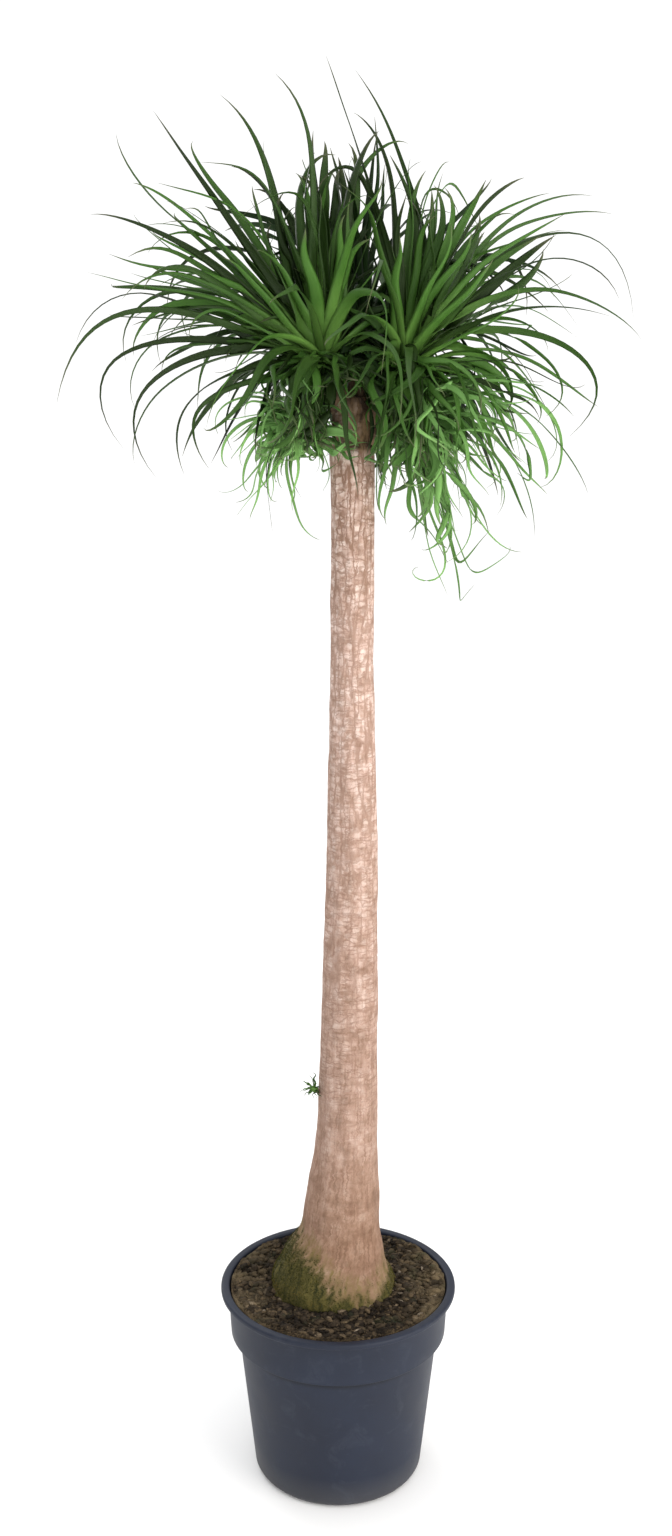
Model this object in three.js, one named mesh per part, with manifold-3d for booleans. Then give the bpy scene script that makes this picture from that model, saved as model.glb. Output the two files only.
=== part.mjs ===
// Potted ponytail palm: a slender stem with a swollen foot, about 1.97 m tall with its pot,
// and a crown of narrow arching leaves on five short branches.
// Millimetres, +Z up. The origin is the middle of the pot's underside. The plant's face looks
// along -Y, so +X is on the right hand of someone who looks at it.

import * as THREE from 'three';
import { mergeVertices } from 'three/addons/utils/BufferGeometryUtils.js';
import Module from 'manifold-3d';

const wasm = await Module();
wasm.setup();

// Driving dimensions of the pot
const POT_HEIGHT = 292;
const LIP_RADIUS = 170;
const LIP_HEIGHT = 8;
const BAND_TOP_RADIUS = 160;
const BAND_FOOT_RADIUS = 156;
const BAND_HEIGHT = 71;
const BODY_TOP_RADIUS = 144.5;
const BODY_FOOT_RADIUS = 123;
const FOOT_FILLET = 14;
const WALL = 2.6;
const POT_SIDES = 48;
const DRAIN_COUNT = 8;
const DRAIN_RADIUS = 6;
const DRAIN_CIRCLE = 82;

// Driving dimensions of the soil
const GAP = 0.35;
const SOIL_EDGE = 283;
const SOIL_RISE = 6;
const SOIL_EDGE_RADIUS = 156;
const SOIL_SIDES = 40;

// Driving dimensions of the stem: height, sideways place of its middle, radius
const STEM_STATIONS = [
  [110, 0, 30],
  [200, -3, 72],
  [262, -4, 91],
  [304, -10, 86],
  [322, -9, 77],
  [345, -5.5, 70],
  [379, 2, 57],
  [418, 5, 54],
  [512, 11.5, 44.5],
  [635, 15, 40.5],
  [785, 17, 37.5],
  [958, 19, 34.5],
  [1125, 19, 30.8],
  [1207, 18, 28.7],
  [1400, 19, 28.2],
  [1488, 18, 28.6],
  [1494, 18, 26.5],
  [1538, 19, 26],
  [1552, 20, 17],
];
const STEM_SIDES = 20;
const FOOT_TOP = 420;
const FOOT_FLATTENING = 0.08;
const BARK_RELIEF = 0.5;

// The leaf heads. foot is where the stem's branch leaves the stem, seat is the branch's end
// that carries the head, axis is where the head points, size scales its core.
const HEADS = {
  head_left: {
    foot: [12, -2, 1528], seat: [-10, -8, 1562], axis: [-0.3, -0.15, 0.94], branch: 15, size: 1,
    count: 38, seed: 12, length: [300, 440], width: [11, 19], spread: [0.1, 1.75],
    droop: [0.1, 1.0], curl: 10, segments: 6, colour: '#3f6a2a',
  },
  head_right: {
    foot: [30, -2, 1522], seat: [74, -10, 1550], axis: [0.35, -0.2, 0.92], branch: 15, size: 1,
    count: 42, seed: 26, length: [290, 430], width: [11, 19], spread: [0.1, 1.75],
    droop: [0.1, 1.0], curl: 10, segments: 6, colour: '#426f2c',
  },
  head_back: {
    foot: [22, 8, 1535], seat: [28, 46, 1578], axis: [0.05, 0.5, 0.86], branch: 13, size: 0.9,
    count: 34, seed: 37, length: [260, 400], width: [9, 16], spread: [0.1, 1.7],
    droop: [0.1, 1.0], curl: 12, segments: 6, colour: '#2f5522',
  },
  shoot_low_left: {
    foot: [6, -6, 1484], seat: [-36, -12, 1502], axis: [-0.75, -0.35, 0.45], branch: 8, size: 0.6,
    count: 34, seed: 41, length: [80, 165], width: [5, 9], spread: [0.2, 1.6],
    droop: [0.5, 1.3], curl: 12, segments: 6, colour: '#3d7028',
  },
  shoot_low_right: {
    foot: [30, -4, 1494], seat: [72, -8, 1512], axis: [0.85, -0.35, 0.3], branch: 10, size: 0.75,
    count: 42, seed: 59, length: [130, 290], width: [6, 11], spread: [0.1, 1.5],
    droop: [0.5, 1.3], curl: 16, segments: 6, colour: '#3a6a28',
  },
  side_sprout: {
    foot: [-18, -6, 590], seat: [-30, -12, 596], axis: [-0.6, -0.5, 0.6], branch: 3.5, size: 0.24,
    count: 9, seed: 71, length: [14, 26], width: [2.6, 4], spread: [0.2, 1.3],
    droop: [0.1, 0.5], curl: 1, segments: 4, colour: '#4f6b35',
  },
};

// Leaves that give the crown its outline, each in its place: the width of the leaf, how far its
// tip leans to the back (plus) or to the front (minus), and the sideways place and height that it
// passes at a third of its length, at two thirds, and at its tip.
const OUTLINE_LEAVES = {
  head_left: [
    [20, -40, [-33, 1695], [-30, 1825], [-86, 1935]],
    [16, 30, [-62, 1690], [-84, 1815], [-147, 1920]],
    [17, -50, [-75, 1685], [-150, 1790], [-217, 1900]],
    [15, 40, [-97, 1684], [-205, 1770], [-305, 1862]],
    [15, -70, [-100, 1668], [-200, 1742], [-309, 1757]],
    [15, 20, [-120, 1630], [-237, 1679], [-353, 1633]],
    [11, -90, [-135, 1640], [-262, 1655], [-350, 1550]],
    [12, -40, [-140, 1622], [-270, 1606], [-313, 1485]],
    [14, -60, [-132, 1612], [-238, 1568], [-253, 1447]],
    [10, -110, [-112, 1590], [-186, 1545], [-187, 1461]],
    [9, -75, [-100, 1575], [-172, 1540], [-158, 1466]],
    [22, -95, [-48, 1650], [-82, 1728], [-120, 1800]],
    [22, -70, [-16, 1650], [-20, 1728], [-28, 1800]],
    [20, -55, [0, 1650], [8, 1722], [20, 1796]],
    [18, -100, [-100, 1655], [-172, 1704], [-245, 1712]],
  ],
  head_right: [
    [13, -25, [70, 1712], [27, 1842], [2, 1969]],
    [14, 60, [112, 1705], [85, 1832], [24, 1955]],
    [22, -60, [112, 1668], [158, 1757], [216, 1830]],
    [20, -100, [130, 1645], [180, 1702], [240, 1750]],
    [20, -35, [100, 1665], [122, 1738], [150, 1810]],
    [10, 90, [92, 1690], [108, 1795], [166, 1800]],
    [14, 50, [138, 1682], [213, 1768], [323, 1818]],
    [12, 100, [145, 1690], [240, 1768], [366, 1748]],
    [11, -20, [155, 1695], [285, 1752], [368, 1650]],
    [14, -75, [152, 1665], [250, 1718], [359, 1693]],
    [12, -40, [165, 1662], [283, 1680], [364, 1590]],
    [11, -120, [180, 1635], [295, 1604], [284, 1508]],
    [11, -150, [160, 1640], [240, 1662], [325, 1650]],
    [18, -60, [78, 1650], [74, 1725], [80, 1800]],
    [16, -115, [88, 1612], [96, 1575], [100, 1465]],
    [14, -135, [70, 1618], [60, 1590], [58, 1515]],
  ],
  shoot_low_left: [
    [5, -35, [-66, 1470], [-54, 1410], [-20, 1376]],
    [6, -20, [-84, 1485], [-118, 1448], [-150, 1418]],
    [6, -45, [-72, 1475], [-100, 1440], [-128, 1402]],
  ],
  shoot_low_right: [
    [11, -45, [104, 1450], [112, 1385], [150, 1302]],
    [9, -35, [78, 1480], [66, 1435], [52, 1392]],
    [7, -20, [136, 1480], [180, 1400], [238, 1357]],
    [8, 40, [150, 1540], [225, 1475], [262, 1370]],
    [9, -60, [165, 1560], [255, 1520], [303, 1422]],
    [11, -85, [150, 1575], [230, 1572], [289, 1530]],
    [9, -70, [132, 1540], [187, 1488], [213, 1418]],
  ],
};

// Leaf shape shared by all heads
const LEAN_AT_THIRD = 0.35;
const LEAN_AT_TWO_THIRDS = 0.72;
const BLADE_KEEL = 0.16;
// A blade keeps its width for half its length and then runs out to a thin tip.
const TAPER = 1.6;
const LEAST_BLADE = 1.8;
const LEAST_KEEL = 1.1;
const GOLDEN_ANGLE = Math.PI * (3 - Math.sqrt(5));
const CORE_LENGTH = 58;
const CORE_RADIUS = 19;
const CORE_SIDES = 10;
const ROOM = 10;
const STEM_ROOM = 2;
const PATH_SAMPLES = 64;
const MOST_TRIES = 60;
const CROWN_MIDDLE = [8, 0, 1600];
const CROWN_RADII = { side: 345, deep: 310, up: 290, down: 275 };

// Edges shorter than this are closed up in every solid
const LEAST_EDGE = 0.03;

// Small helpers

const vector = ([x, y, z]) => new THREE.Vector3(x, y, z);

// A seeded stream of numbers, so that every run grows the same plant. The first few numbers
// are thrown away, because seeds that lie close together start alike.
function makeDraw(seed) {
  let state = seed >>> 0;
  const draw = (low, high) => {
    state = (Math.imul(state, 1664525) + 1013904223) >>> 0;
    return low + (high - low) * (state / 4294967296);
  };
  for (let i = 0; i < 4; i += 1) draw(0, 1);
  return draw;
}

function solidOf(geometry) {
  geometry.deleteAttribute('normal');
  geometry.deleteAttribute('uv');
  const merged = mergeVertices(geometry, 1e-4);
  return new wasm.Manifold(new wasm.Mesh({
    numProp: 3,
    vertProperties: new Float32Array(merged.attributes.position.array),
    triVerts: new Uint32Array(merged.index.array),
  }));
}

// Keeps the largest body of a solid, which fills sealed hollows and drops scraps.
function largestBody(solid) {
  const bodies = solid.decompose();
  return bodies.reduce((a, b) => (a.volume() > b.volume() ? a : b));
}

function meshOf(name, solid, look) {
  const rounded = new wasm.Manifold(solid.asOriginal().simplify(LEAST_EDGE).getMesh());
  const { vertProperties, triVerts } = largestBody(rounded).getMesh();
  const geometry = new THREE.BufferGeometry();
  geometry.setAttribute('position', new THREE.BufferAttribute(vertProperties, 3));
  geometry.setIndex(new THREE.BufferAttribute(triVerts, 1));
  geometry.computeVertexNormals();
  const mesh = new THREE.Mesh(geometry, new THREE.MeshStandardMaterial(look));
  mesh.name = name;
  return mesh;
}

// A closed skin over a row of rings that have the same number of points. The last ring may be
// one point, and the first and a last full ring are closed with a fan around their middle.
function skin(rings) {
  const sides = rings[0].length;
  const points = [];
  const faces = [];
  const middle = (ring) => ring.reduce((sum, p) => sum.add(p), new THREE.Vector3())
    .divideScalar(ring.length);
  const full = rings.filter((ring) => ring.length === sides);
  full.forEach((ring) => points.push(...ring));
  for (let k = 0; k + 1 < full.length; k += 1) {
    for (let i = 0; i < sides; i += 1) {
      const a = k * sides + i;
      const b = k * sides + ((i + 1) % sides);
      faces.push(a, b, b + sides, a, b + sides, a + sides);
    }
  }
  const last = rings[rings.length - 1];
  const start = points.push(middle(full[0])) - 1;
  const end = points.push(last.length === 1 ? last[0] : middle(last)) - 1;
  const top = (full.length - 1) * sides;
  for (let i = 0; i < sides; i += 1) {
    const next = (i + 1) % sides;
    faces.push(start, next, i);
    faces.push(end, top + i, top + next);
  }
  const geometry = new THREE.BufferGeometry().setFromPoints(points);
  geometry.setIndex(faces);
  return geometry;
}

// Pot

function arc(middleX, middleY, radius, fromAngle, toAngle, steps) {
  const points = [];
  for (let i = 0; i <= steps; i += 1) {
    const angle = fromAngle + (toAngle - fromAngle) * (i / steps);
    points.push([middleX + radius * Math.cos(angle), middleY + radius * Math.sin(angle)]);
  }
  return points;
}

function potSolid() {
  const bandFoot = POT_HEIGHT - BAND_HEIGHT;
  const lipFoot = POT_HEIGHT - LIP_HEIGHT;
  const footFlat = BODY_FOOT_RADIUS - FOOT_FILLET;
  const lipTop = POT_HEIGHT - 3;
  const profile = [
    [0, 0],
    ...arc(footFlat, FOOT_FILLET, FOOT_FILLET, -Math.PI / 2, 0, 4),
    [BODY_TOP_RADIUS, bandFoot - 5],
    [BAND_FOOT_RADIUS - 3, bandFoot - 1],
    [BAND_FOOT_RADIUS, bandFoot + 2],
    [BAND_TOP_RADIUS, lipFoot],
    [LIP_RADIUS - 1.5, lipFoot],
    [LIP_RADIUS, lipFoot + 1.5],
    ...arc(LIP_RADIUS - 3, lipTop, 3, 0, Math.PI / 2, 3),
    [BAND_TOP_RADIUS, POT_HEIGHT],
    [BAND_TOP_RADIUS - WALL, POT_HEIGHT - 2],
    [BAND_FOOT_RADIUS - WALL, bandFoot + 4],
    [BODY_TOP_RADIUS - WALL, bandFoot - 3],
    ...arc(footFlat, FOOT_FILLET, FOOT_FILLET - WALL, 0, -Math.PI / 2, 3),
    [0, WALL],
  ].map(([radius, height]) => new THREE.Vector2(radius, height));
  const shell = new THREE.LatheGeometry(profile, POT_SIDES);
  shell.rotateX(Math.PI / 2);
  let pot = solidOf(shell);
  for (let i = 0; i < DRAIN_COUNT; i += 1) {
    const drill = new THREE.CylinderGeometry(DRAIN_RADIUS, DRAIN_RADIUS, 4 * WALL, 16);
    drill.rotateX(Math.PI / 2);
    const angle = ((i + 0.5) * 2 * Math.PI) / DRAIN_COUNT;
    drill.translate(DRAIN_CIRCLE * Math.cos(angle), DRAIN_CIRCLE * Math.sin(angle), WALL / 2);
    pot = pot.subtract(solidOf(drill));
  }
  return pot;
}

// Stem

// A smooth curve through the stem's stations: the middle and the radius at one height.
function stemAt(height) {
  const last = STEM_STATIONS.length - 1;
  let k = 0;
  while (k < last - 1 && height > STEM_STATIONS[k + 1][0]) k += 1;
  const from = STEM_STATIONS[k];
  const to = STEM_STATIONS[k + 1];
  const before = STEM_STATIONS[Math.max(k - 1, 0)];
  const after = STEM_STATIONS[Math.min(k + 2, last)];
  const span = to[0] - from[0];
  const t = (height - from[0]) / span;
  return [1, 2].map((column) => {
    const slopeIn = ((to[column] - before[column]) / (to[0] - before[0])) * span;
    const slopeOut = ((after[column] - from[column]) / (after[0] - from[0])) * span;
    return (2 * t ** 3 - 3 * t ** 2 + 1) * from[column] + (t ** 3 - 2 * t ** 2 + t) * slopeIn
      + (3 * t ** 2 - 2 * t ** 3) * to[column] + (t ** 3 - t ** 2) * slopeOut;
  });
}

// How much of the foot's lobes and flattening a height has: none on the slim stem.
function footShare(height) {
  return THREE.MathUtils.clamp((FOOT_TOP - height) / (FOOT_TOP - SOIL_EDGE), 0, 1);
}

function stemPoint(height, angle, extra) {
  const [middle, radius] = stemAt(height);
  const share = footShare(height);
  const bare = height > SOIL_EDGE + SOIL_RISE ? 1 : 0;
  const lobes = 1 + 0.03 * share * bare * Math.sin(3 * angle + 1);
  const bark = BARK_RELIEF * bare * (1 - share) * Math.sin(9 * angle + height / 60);
  const out = radius * lobes + bark + extra;
  const deep = 1 - FOOT_FLATTENING * share;
  return new THREE.Vector3(middle + out * Math.cos(angle), out * deep * Math.sin(angle), height);
}

function stemSkin(extra) {
  const heights = [];
  for (let z = STEM_STATIONS[0][0]; z < SOIL_EDGE - 20; z += 48) heights.push(z);
  for (let z = SOIL_EDGE + SOIL_RISE; z < FOOT_TOP; z += 19) heights.push(z);
  for (let z = FOOT_TOP; z < 1480; z += 88) heights.push(z);
  heights.push(1486, 1494, 1538, 1552);
  return skin(heights.map((z) => Array.from(
    { length: STEM_SIDES },
    (_, i) => stemPoint(z, (i * 2 * Math.PI) / STEM_SIDES, extra),
  )));
}

// Two directions across an axis, for rings drawn around it.
function acrossAxis(axis) {
  const side = new THREE.Vector3().crossVectors(axis, new THREE.Vector3(0, 1, 0)).normalize();
  return [side, new THREE.Vector3().crossVectors(axis, side)];
}

// A round body along an axis, from pairs of distance along it and radius.
function turnedAlong(start, axis, stations, sides) {
  const [u, v] = acrossAxis(axis);
  return skin(stations.map(([distance, radius]) => Array.from({ length: sides }, (_, i) => {
    const angle = (i * 2 * Math.PI) / sides;
    return start.clone().addScaledVector(axis, distance)
      .addScaledVector(u, radius * Math.cos(angle))
      .addScaledVector(v, radius * Math.sin(angle));
  })));
}

// A branch ends in a flat face across the head's axis, just where the head sits on it.
function branchSkin(head) {
  const foot = vector(head.foot);
  const seat = vector(head.seat);
  const axis = vector(head.axis).normalize();
  const way = seat.clone().sub(foot);
  const [u, v] = acrossAxis(axis);
  const direction = way.clone().normalize();
  const [p, q] = acrossAxis(direction);
  const rings = [0, 0.5, 1].map((t) => Array.from({ length: 12 }, (_, i) => {
    const angle = (i * 2 * Math.PI) / 12;
    const radius = head.branch * (1.1 - 0.1 * t);
    const a = t === 1 ? u : p;
    const b = t === 1 ? v : q;
    return foot.clone().addScaledVector(way, t)
      .addScaledVector(a, radius * Math.cos(angle))
      .addScaledVector(b, radius * Math.sin(angle));
  }));
  return skin(rings);
}

function stemSolid() {
  let stem = solidOf(stemSkin(0));
  for (const head of Object.values(HEADS)) stem = stem.add(solidOf(branchSkin(head)));
  return largestBody(stem);
}

// Soil

function soilHeight(x, y) {
  const rise = Math.max(0, 1 - Math.hypot(x, y) / SOIL_EDGE_RADIUS);
  const lumps = 1.3 * Math.sin(x / 11 + 2 * Math.sin(y / 23)) + 1.1 * Math.sin(y / 9 + x / 31);
  return SOIL_EDGE + SOIL_RISE * Math.min(1, 1.8 * rise) + lumps;
}

function soilSolid() {
  const bandFoot = POT_HEIGHT - BAND_HEIGHT;
  const bottom = WALL + GAP;
  const wall = WALL + GAP;
  const sideStations = [
    [BODY_FOOT_RADIUS - FOOT_FILLET - 1, bottom],
    [BODY_FOOT_RADIUS - wall - 2, FOOT_FILLET],
    [BODY_TOP_RADIUS - wall - 1.3, bandFoot - 4],
    [BAND_FOOT_RADIUS - wall - 0.3, bandFoot + 12],
    [SOIL_EDGE_RADIUS - 0.3, SOIL_EDGE - 5],
  ];
  const ringAt = (radius, heightAt) => Array.from({ length: SOIL_SIDES }, (_, i) => {
    const angle = (i * 2 * Math.PI) / SOIL_SIDES;
    const x = radius * Math.cos(angle);
    const y = radius * Math.sin(angle);
    return new THREE.Vector3(x, y, heightAt(x, y));
  });
  const rings = sideStations.map(([radius, height]) => ringAt(radius, () => height));
  for (const share of [0.985, 0.9, 0.8, 0.7, 0.45]) {
    rings.push(ringAt(SOIL_EDGE_RADIUS * share, soilHeight));
  }
  return largestBody(solidOf(skin(rings)).subtract(solidOf(stemSkin(GAP))));
}

// Leaves

// The curve of a leaf passes its four knots at 0, 1/3, 2/3 and 1, and its end sways by its curl.
function leafPoint(leaf, t) {
  const weights = [
    ((1 - 3 * t) * (2 - 3 * t) * (1 - t)) / 2,
    (9 * t * (2 - 3 * t) * (1 - t)) / 2,
    (9 * t * (3 * t - 1) * (1 - t)) / 2,
    (t * (3 * t - 1) * (3 * t - 2)) / 2,
  ];
  const point = new THREE.Vector3();
  weights.forEach((weight, k) => point.addScaledVector(leaf.knots[k], weight));
  const sway = leaf.curl * t * t;
  point.addScaledVector(leaf.side, sway * Math.sin(9 * t + leaf.phase));
  point.z += 0.6 * sway * Math.cos(9 * t + leaf.phase);
  return point;
}

function leafWidth(leaf, t) {
  const neck = 0.72 + 0.28 * Math.sin(Math.min(1, t / 0.25) * (Math.PI / 2));
  return Math.max(LEAST_BLADE, leaf.width * neck * (1 - t ** TAPER) ** 0.9);
}

// Fills in what follows from a leaf's knots: the level direction across it.
function finishLeaf(leaf) {
  const run = leaf.knots[3].clone().sub(leaf.knots[0]);
  const plan = Math.hypot(run.x, run.y);
  leaf.side = plan > 1
    ? new THREE.Vector3(-run.y / plan, run.x / plan, 0)
    : new THREE.Vector3(1, 0, 0);
  return leaf;
}

// A leaf from the table: its tip and the places that it passes are given.
function outlineLeaf(head, row, draw) {
  const [width, lean, third, twoThirds, tip] = row;
  const height = draw(0.3, 0.65) * CORE_LENGTH * head.size;
  const root = vector(head.seat).addScaledVector(vector(head.axis).normalize(), height);
  const place = ([x, z], share) => new THREE.Vector3(x, root.y + lean * share, z);
  return finishLeaf({
    width,
    knots: [root, place(third, LEAN_AT_THIRD), place(twoThirds, LEAN_AT_TWO_THIRDS), place(tip, 1)],
    curl: 0,
    phase: 0,
    twist: draw(-1, 1),
  });
}

// A leaf from the rule: young leaves stand near the head's axis and old ones spread, and each
// third of the leaf turns further down than the one before.
function grownLeaf(head, index, draw) {
  const axis = vector(head.axis).normalize();
  const [u, v] = acrossAxis(axis);
  const age = (index + draw(0, 1)) / head.count;
  const around = index * GOLDEN_ANGLE + draw(-0.5, 0.5);
  const spread = head.spread[0] + (head.spread[1] - head.spread[0]) * age ** 0.8;
  const length = draw(head.length[0], head.length[1]);
  const width = draw(head.width[0], head.width[1]);
  const droop = (head.droop[0] + (head.droop[1] - head.droop[0]) * age) * draw(0.6, 1.3);
  const curl = head.curl * draw(-1, 1);
  const phase = draw(0, 6);
  const twist = draw(-2, 2);
  const height = (0.7 - 0.45 * age) * CORE_LENGTH * head.size;
  const knots = [vector(head.seat).addScaledVector(axis, height)];
  const way = axis.clone().multiplyScalar(Math.cos(spread))
    .addScaledVector(u, Math.sin(spread) * Math.cos(around))
    .addScaledVector(v, Math.sin(spread) * Math.sin(around));
  for (let k = 0; k < 3; k += 1) {
    knots.push(knots[k].clone().addScaledVector(way, length / 3));
    way.z -= droop * (1 + 0.6 * k);
    way.normalize();
  }
  return finishLeaf({ width, knots, curl, phase, twist });
}

function distanceToSegment(point, from, to) {
  const line = new THREE.Line3(from, to);
  return line.closestPointToPoint(point, true, new THREE.Vector3()).distanceTo(point);
}

// The branches and the other heads' cores, as capsules that a leaf has to pass.
function thingsToPass(name) {
  const capsules = [];
  for (const [other, head] of Object.entries(HEADS)) {
    const seat = vector(head.seat);
    capsules.push({ from: vector(head.foot), to: seat, radius: head.branch + 2 });
    if (other !== name) {
      const end = seat.clone().addScaledVector(vector(head.axis).normalize(), 45 * head.size);
      capsules.push({ from: seat, to: end, radius: CORE_RADIUS * head.size + 2 });
    }
  }
  return capsules;
}

// The space that leaves already fill, in small cells that carry the name of their head.
const filled = new Map();
const cellOf = (point) => [point.x, point.y, point.z].map((value) => Math.floor(value / ROOM));

function samplesOf(leaf) {
  return Array.from({ length: PATH_SAMPLES + 1 }, (_, i) => {
    const t = i / PATH_SAMPLES;
    return { point: leafPoint(leaf, t), half: leafWidth(leaf, t) / 2 };
  });
}

function touchesStem(point, half) {
  if (point.z > STEM_STATIONS.at(-1)[0]) return false;
  const [middle, radius] = stemAt(point.z);
  return Math.hypot(point.x - middle, point.y) < radius + half + STEM_ROOM;
}

// The crown's main body is an egg shape that only outline leaves stand out of.
function isInCrown(samples) {
  return samples.every(({ point }) => {
    const rise = point.z - CROWN_MIDDLE[2];
    const tall = rise > 0 ? CROWN_RADII.up : CROWN_RADII.down;
    const x = (point.x - CROWN_MIDDLE[0]) / CROWN_RADII.side;
    const y = (point.y - CROWN_MIDDLE[1]) / CROWN_RADII.deep;
    return x * x + y * y + (rise / tall) ** 2 < 1;
  });
}

// A leaf is free when it passes the wood, and no cell around it holds a leaf of another head.
function isFree(name, head, samples, capsules) {
  const root = samples[0].point;
  return samples.every(({ point, half }) => {
    if (point.distanceTo(root) > 1.3 * CORE_RADIUS * head.size) {
      const hit = touchesStem(point, half) || capsules.some(({ from, to, radius }) => (
        distanceToSegment(point, from, to) < radius + half
      ));
      if (hit) return false;
    }
    const [i, j, k] = cellOf(point);
    for (let a = -1; a <= 1; a += 1) {
      for (let b = -1; b <= 1; b += 1) {
        for (let c = -1; c <= 1; c += 1) {
          const owner = filled.get(`${i + a},${j + b},${k + c}`);
          if (owner !== undefined && owner !== name) return false;
        }
      }
    }
    return true;
  });
}

function fillCells(name, samples) {
  for (const { point } of samples) filled.set(cellOf(point).join(), name);
}

// A blade with a flat upper face and a keel below, drawn to a point.
function bladeSkin(leaf, segments) {
  const rings = [];
  for (let i = 0; i < segments; i += 1) {
    const t = i / segments;
    const point = leafPoint(leaf, t);
    const along = leafPoint(leaf, t + 0.01).sub(leafPoint(leaf, Math.max(0, t - 0.01))).normalize();
    const across = leaf.side.clone().addScaledVector(along, -leaf.side.dot(along)).normalize();
    across.applyAxisAngle(along, leaf.twist * t);
    const below = new THREE.Vector3().crossVectors(across, along);
    const width = leafWidth(leaf, t);
    const ring = [
      point.clone().addScaledVector(across, width / 2),
      point.clone().addScaledVector(across, -width / 2),
      point.clone().addScaledVector(below, Math.max(LEAST_KEEL, BLADE_KEEL * width)),
    ];
    rings.push(ring);
  }
  rings.push([leafPoint(leaf, 1)]);
  return skin(rings);
}

function coreSolid(head) {
  const size = head.size;
  const stations = [
    [GAP, 0.62 * CORE_RADIUS * size],
    [0.16 * CORE_LENGTH * size, 0.95 * CORE_RADIUS * size],
    [0.5 * CORE_LENGTH * size, CORE_RADIUS * size],
    [0.85 * CORE_LENGTH * size, 0.6 * CORE_RADIUS * size],
    [CORE_LENGTH * size, 0.2 * CORE_RADIUS * size],
  ];
  return solidOf(turnedAlong(vector(head.seat), vector(head.axis).normalize(), stations, CORE_SIDES));
}

// Draws one leaf again and again until it is free, and leaves it out if it never is.
function growOne(name, head, index, leaves) {
  const capsules = thingsToPass(name);
  for (let tries = 0; tries < MOST_TRIES; tries += 1) {
    const draw = makeDraw((head.seed * 1000 + index) * 100 + tries);
    const leaf = grownLeaf(head, index, draw);
    const samples = samplesOf(leaf);
    const belongs = name === 'side_sprout' || isInCrown(samples);
    if (belongs && isFree(name, head, samples, capsules)) {
      fillCells(name, samples);
      leaves.push(leaf);
      return;
    }
  }
}

// All heads first place their outline leaves, then take turns to add leaves from the rule.
function growHeads() {
  const leaves = {};
  for (const [name, head] of Object.entries(HEADS)) {
    const draw = makeDraw(head.seed);
    leaves[name] = (OUTLINE_LEAVES[name] ?? []).map((row) => outlineLeaf(head, row, draw));
    leaves[name].forEach((leaf) => fillCells(name, samplesOf(leaf)));
  }
  const most = Math.max(...Object.values(HEADS).map((head) => head.count));
  for (let index = 0; index < most; index += 1) {
    for (const [name, head] of Object.entries(HEADS)) {
      if (index < head.count) growOne(name, head, index, leaves[name]);
    }
  }
  return leaves;
}

function headSolid(head, leaves) {
  const blades = leaves.map((leaf) => solidOf(bladeSkin(leaf, head.segments)));
  return largestBody(wasm.Manifold.union([coreSolid(head), ...blades]));
}

const plant = new THREE.Group();
plant.add(meshOf('pot', potSolid(), { color: '#3e434f', roughness: 0.55, metalness: 0 }));
plant.add(meshOf('soil', soilSolid(), { color: '#3a3328', roughness: 0.95, metalness: 0 }));
plant.add(meshOf('stem', stemSolid(), { color: '#c4a08c', roughness: 0.85, metalness: 0 }));
const leavesOf = growHeads();
for (const [name, head] of Object.entries(HEADS)) {
  const look = { color: head.colour, roughness: 0.5, metalness: 0 };
  plant.add(meshOf(name, headSolid(head, leavesOf[name]), look));
}

export default plant;
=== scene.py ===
# %% [markdown]
# # A potted ponytail palm
# This lesson dresses a plain model of a house plant until it looks like the real one.
# The plant is a slender woody stem, almost two metres tall with its pot, and a crown of
# narrow arching leaves. We keep the sizes of the plain model and make every surface anew:
# moulded plastic, damp compost, cracked bark, moss and more than nine hundred leaf blades.
# The first cell loads the plain model.

# %% Load the plain model
import math

import bmesh
import bpy
import numpy as np
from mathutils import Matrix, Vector, noise


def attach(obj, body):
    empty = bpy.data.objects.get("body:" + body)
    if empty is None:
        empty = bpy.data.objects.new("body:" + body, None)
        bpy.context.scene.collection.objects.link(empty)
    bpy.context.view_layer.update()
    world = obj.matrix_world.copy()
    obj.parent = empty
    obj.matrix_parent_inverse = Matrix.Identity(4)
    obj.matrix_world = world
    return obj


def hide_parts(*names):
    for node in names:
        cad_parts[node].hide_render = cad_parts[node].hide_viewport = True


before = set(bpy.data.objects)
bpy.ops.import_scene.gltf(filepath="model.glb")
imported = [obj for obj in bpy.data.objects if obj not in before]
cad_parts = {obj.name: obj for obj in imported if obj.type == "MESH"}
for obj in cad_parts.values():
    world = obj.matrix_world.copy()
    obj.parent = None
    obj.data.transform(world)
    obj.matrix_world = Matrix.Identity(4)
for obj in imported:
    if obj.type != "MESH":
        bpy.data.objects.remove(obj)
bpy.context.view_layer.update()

MM = 0.001
print("pieces in the plain model:", sorted(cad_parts))

# %% [markdown]
# ## The camera
# A photo of a round pot tells where the camera stood. The rim of the pot is a circle, so the
# height and width of the ellipse that it makes give the angle that we look down at, and the
# way that the ellipse sits between the near and far side gives the distance. Here the camera
# looks down by 14 degrees from 1.6 metres up, only 2.3 metres in front of the plant.

# %% Place the camera
PHOTO_HEIGHT = 1536
FOCAL_PIXELS = 1758
CAMERA_PITCH = math.radians(14.0)
CAMERA_PLACE = (-0.003, -2.303, 1.635)

camera_data = bpy.data.cameras.new("photo_camera")
camera_data.lens = camera_data.sensor_width * FOCAL_PIXELS / PHOTO_HEIGHT
camera = bpy.data.objects.new("photo_camera", camera_data)
camera.location = CAMERA_PLACE
camera.rotation_euler = (math.pi / 2 - CAMERA_PITCH, 0.0, 0.0)
bpy.context.scene.collection.objects.link(camera)
bpy.context.scene.camera = camera
print(f"lens {camera_data.lens:.1f} mm, looking down by {math.degrees(CAMERA_PITCH):.0f} degrees")

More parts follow.
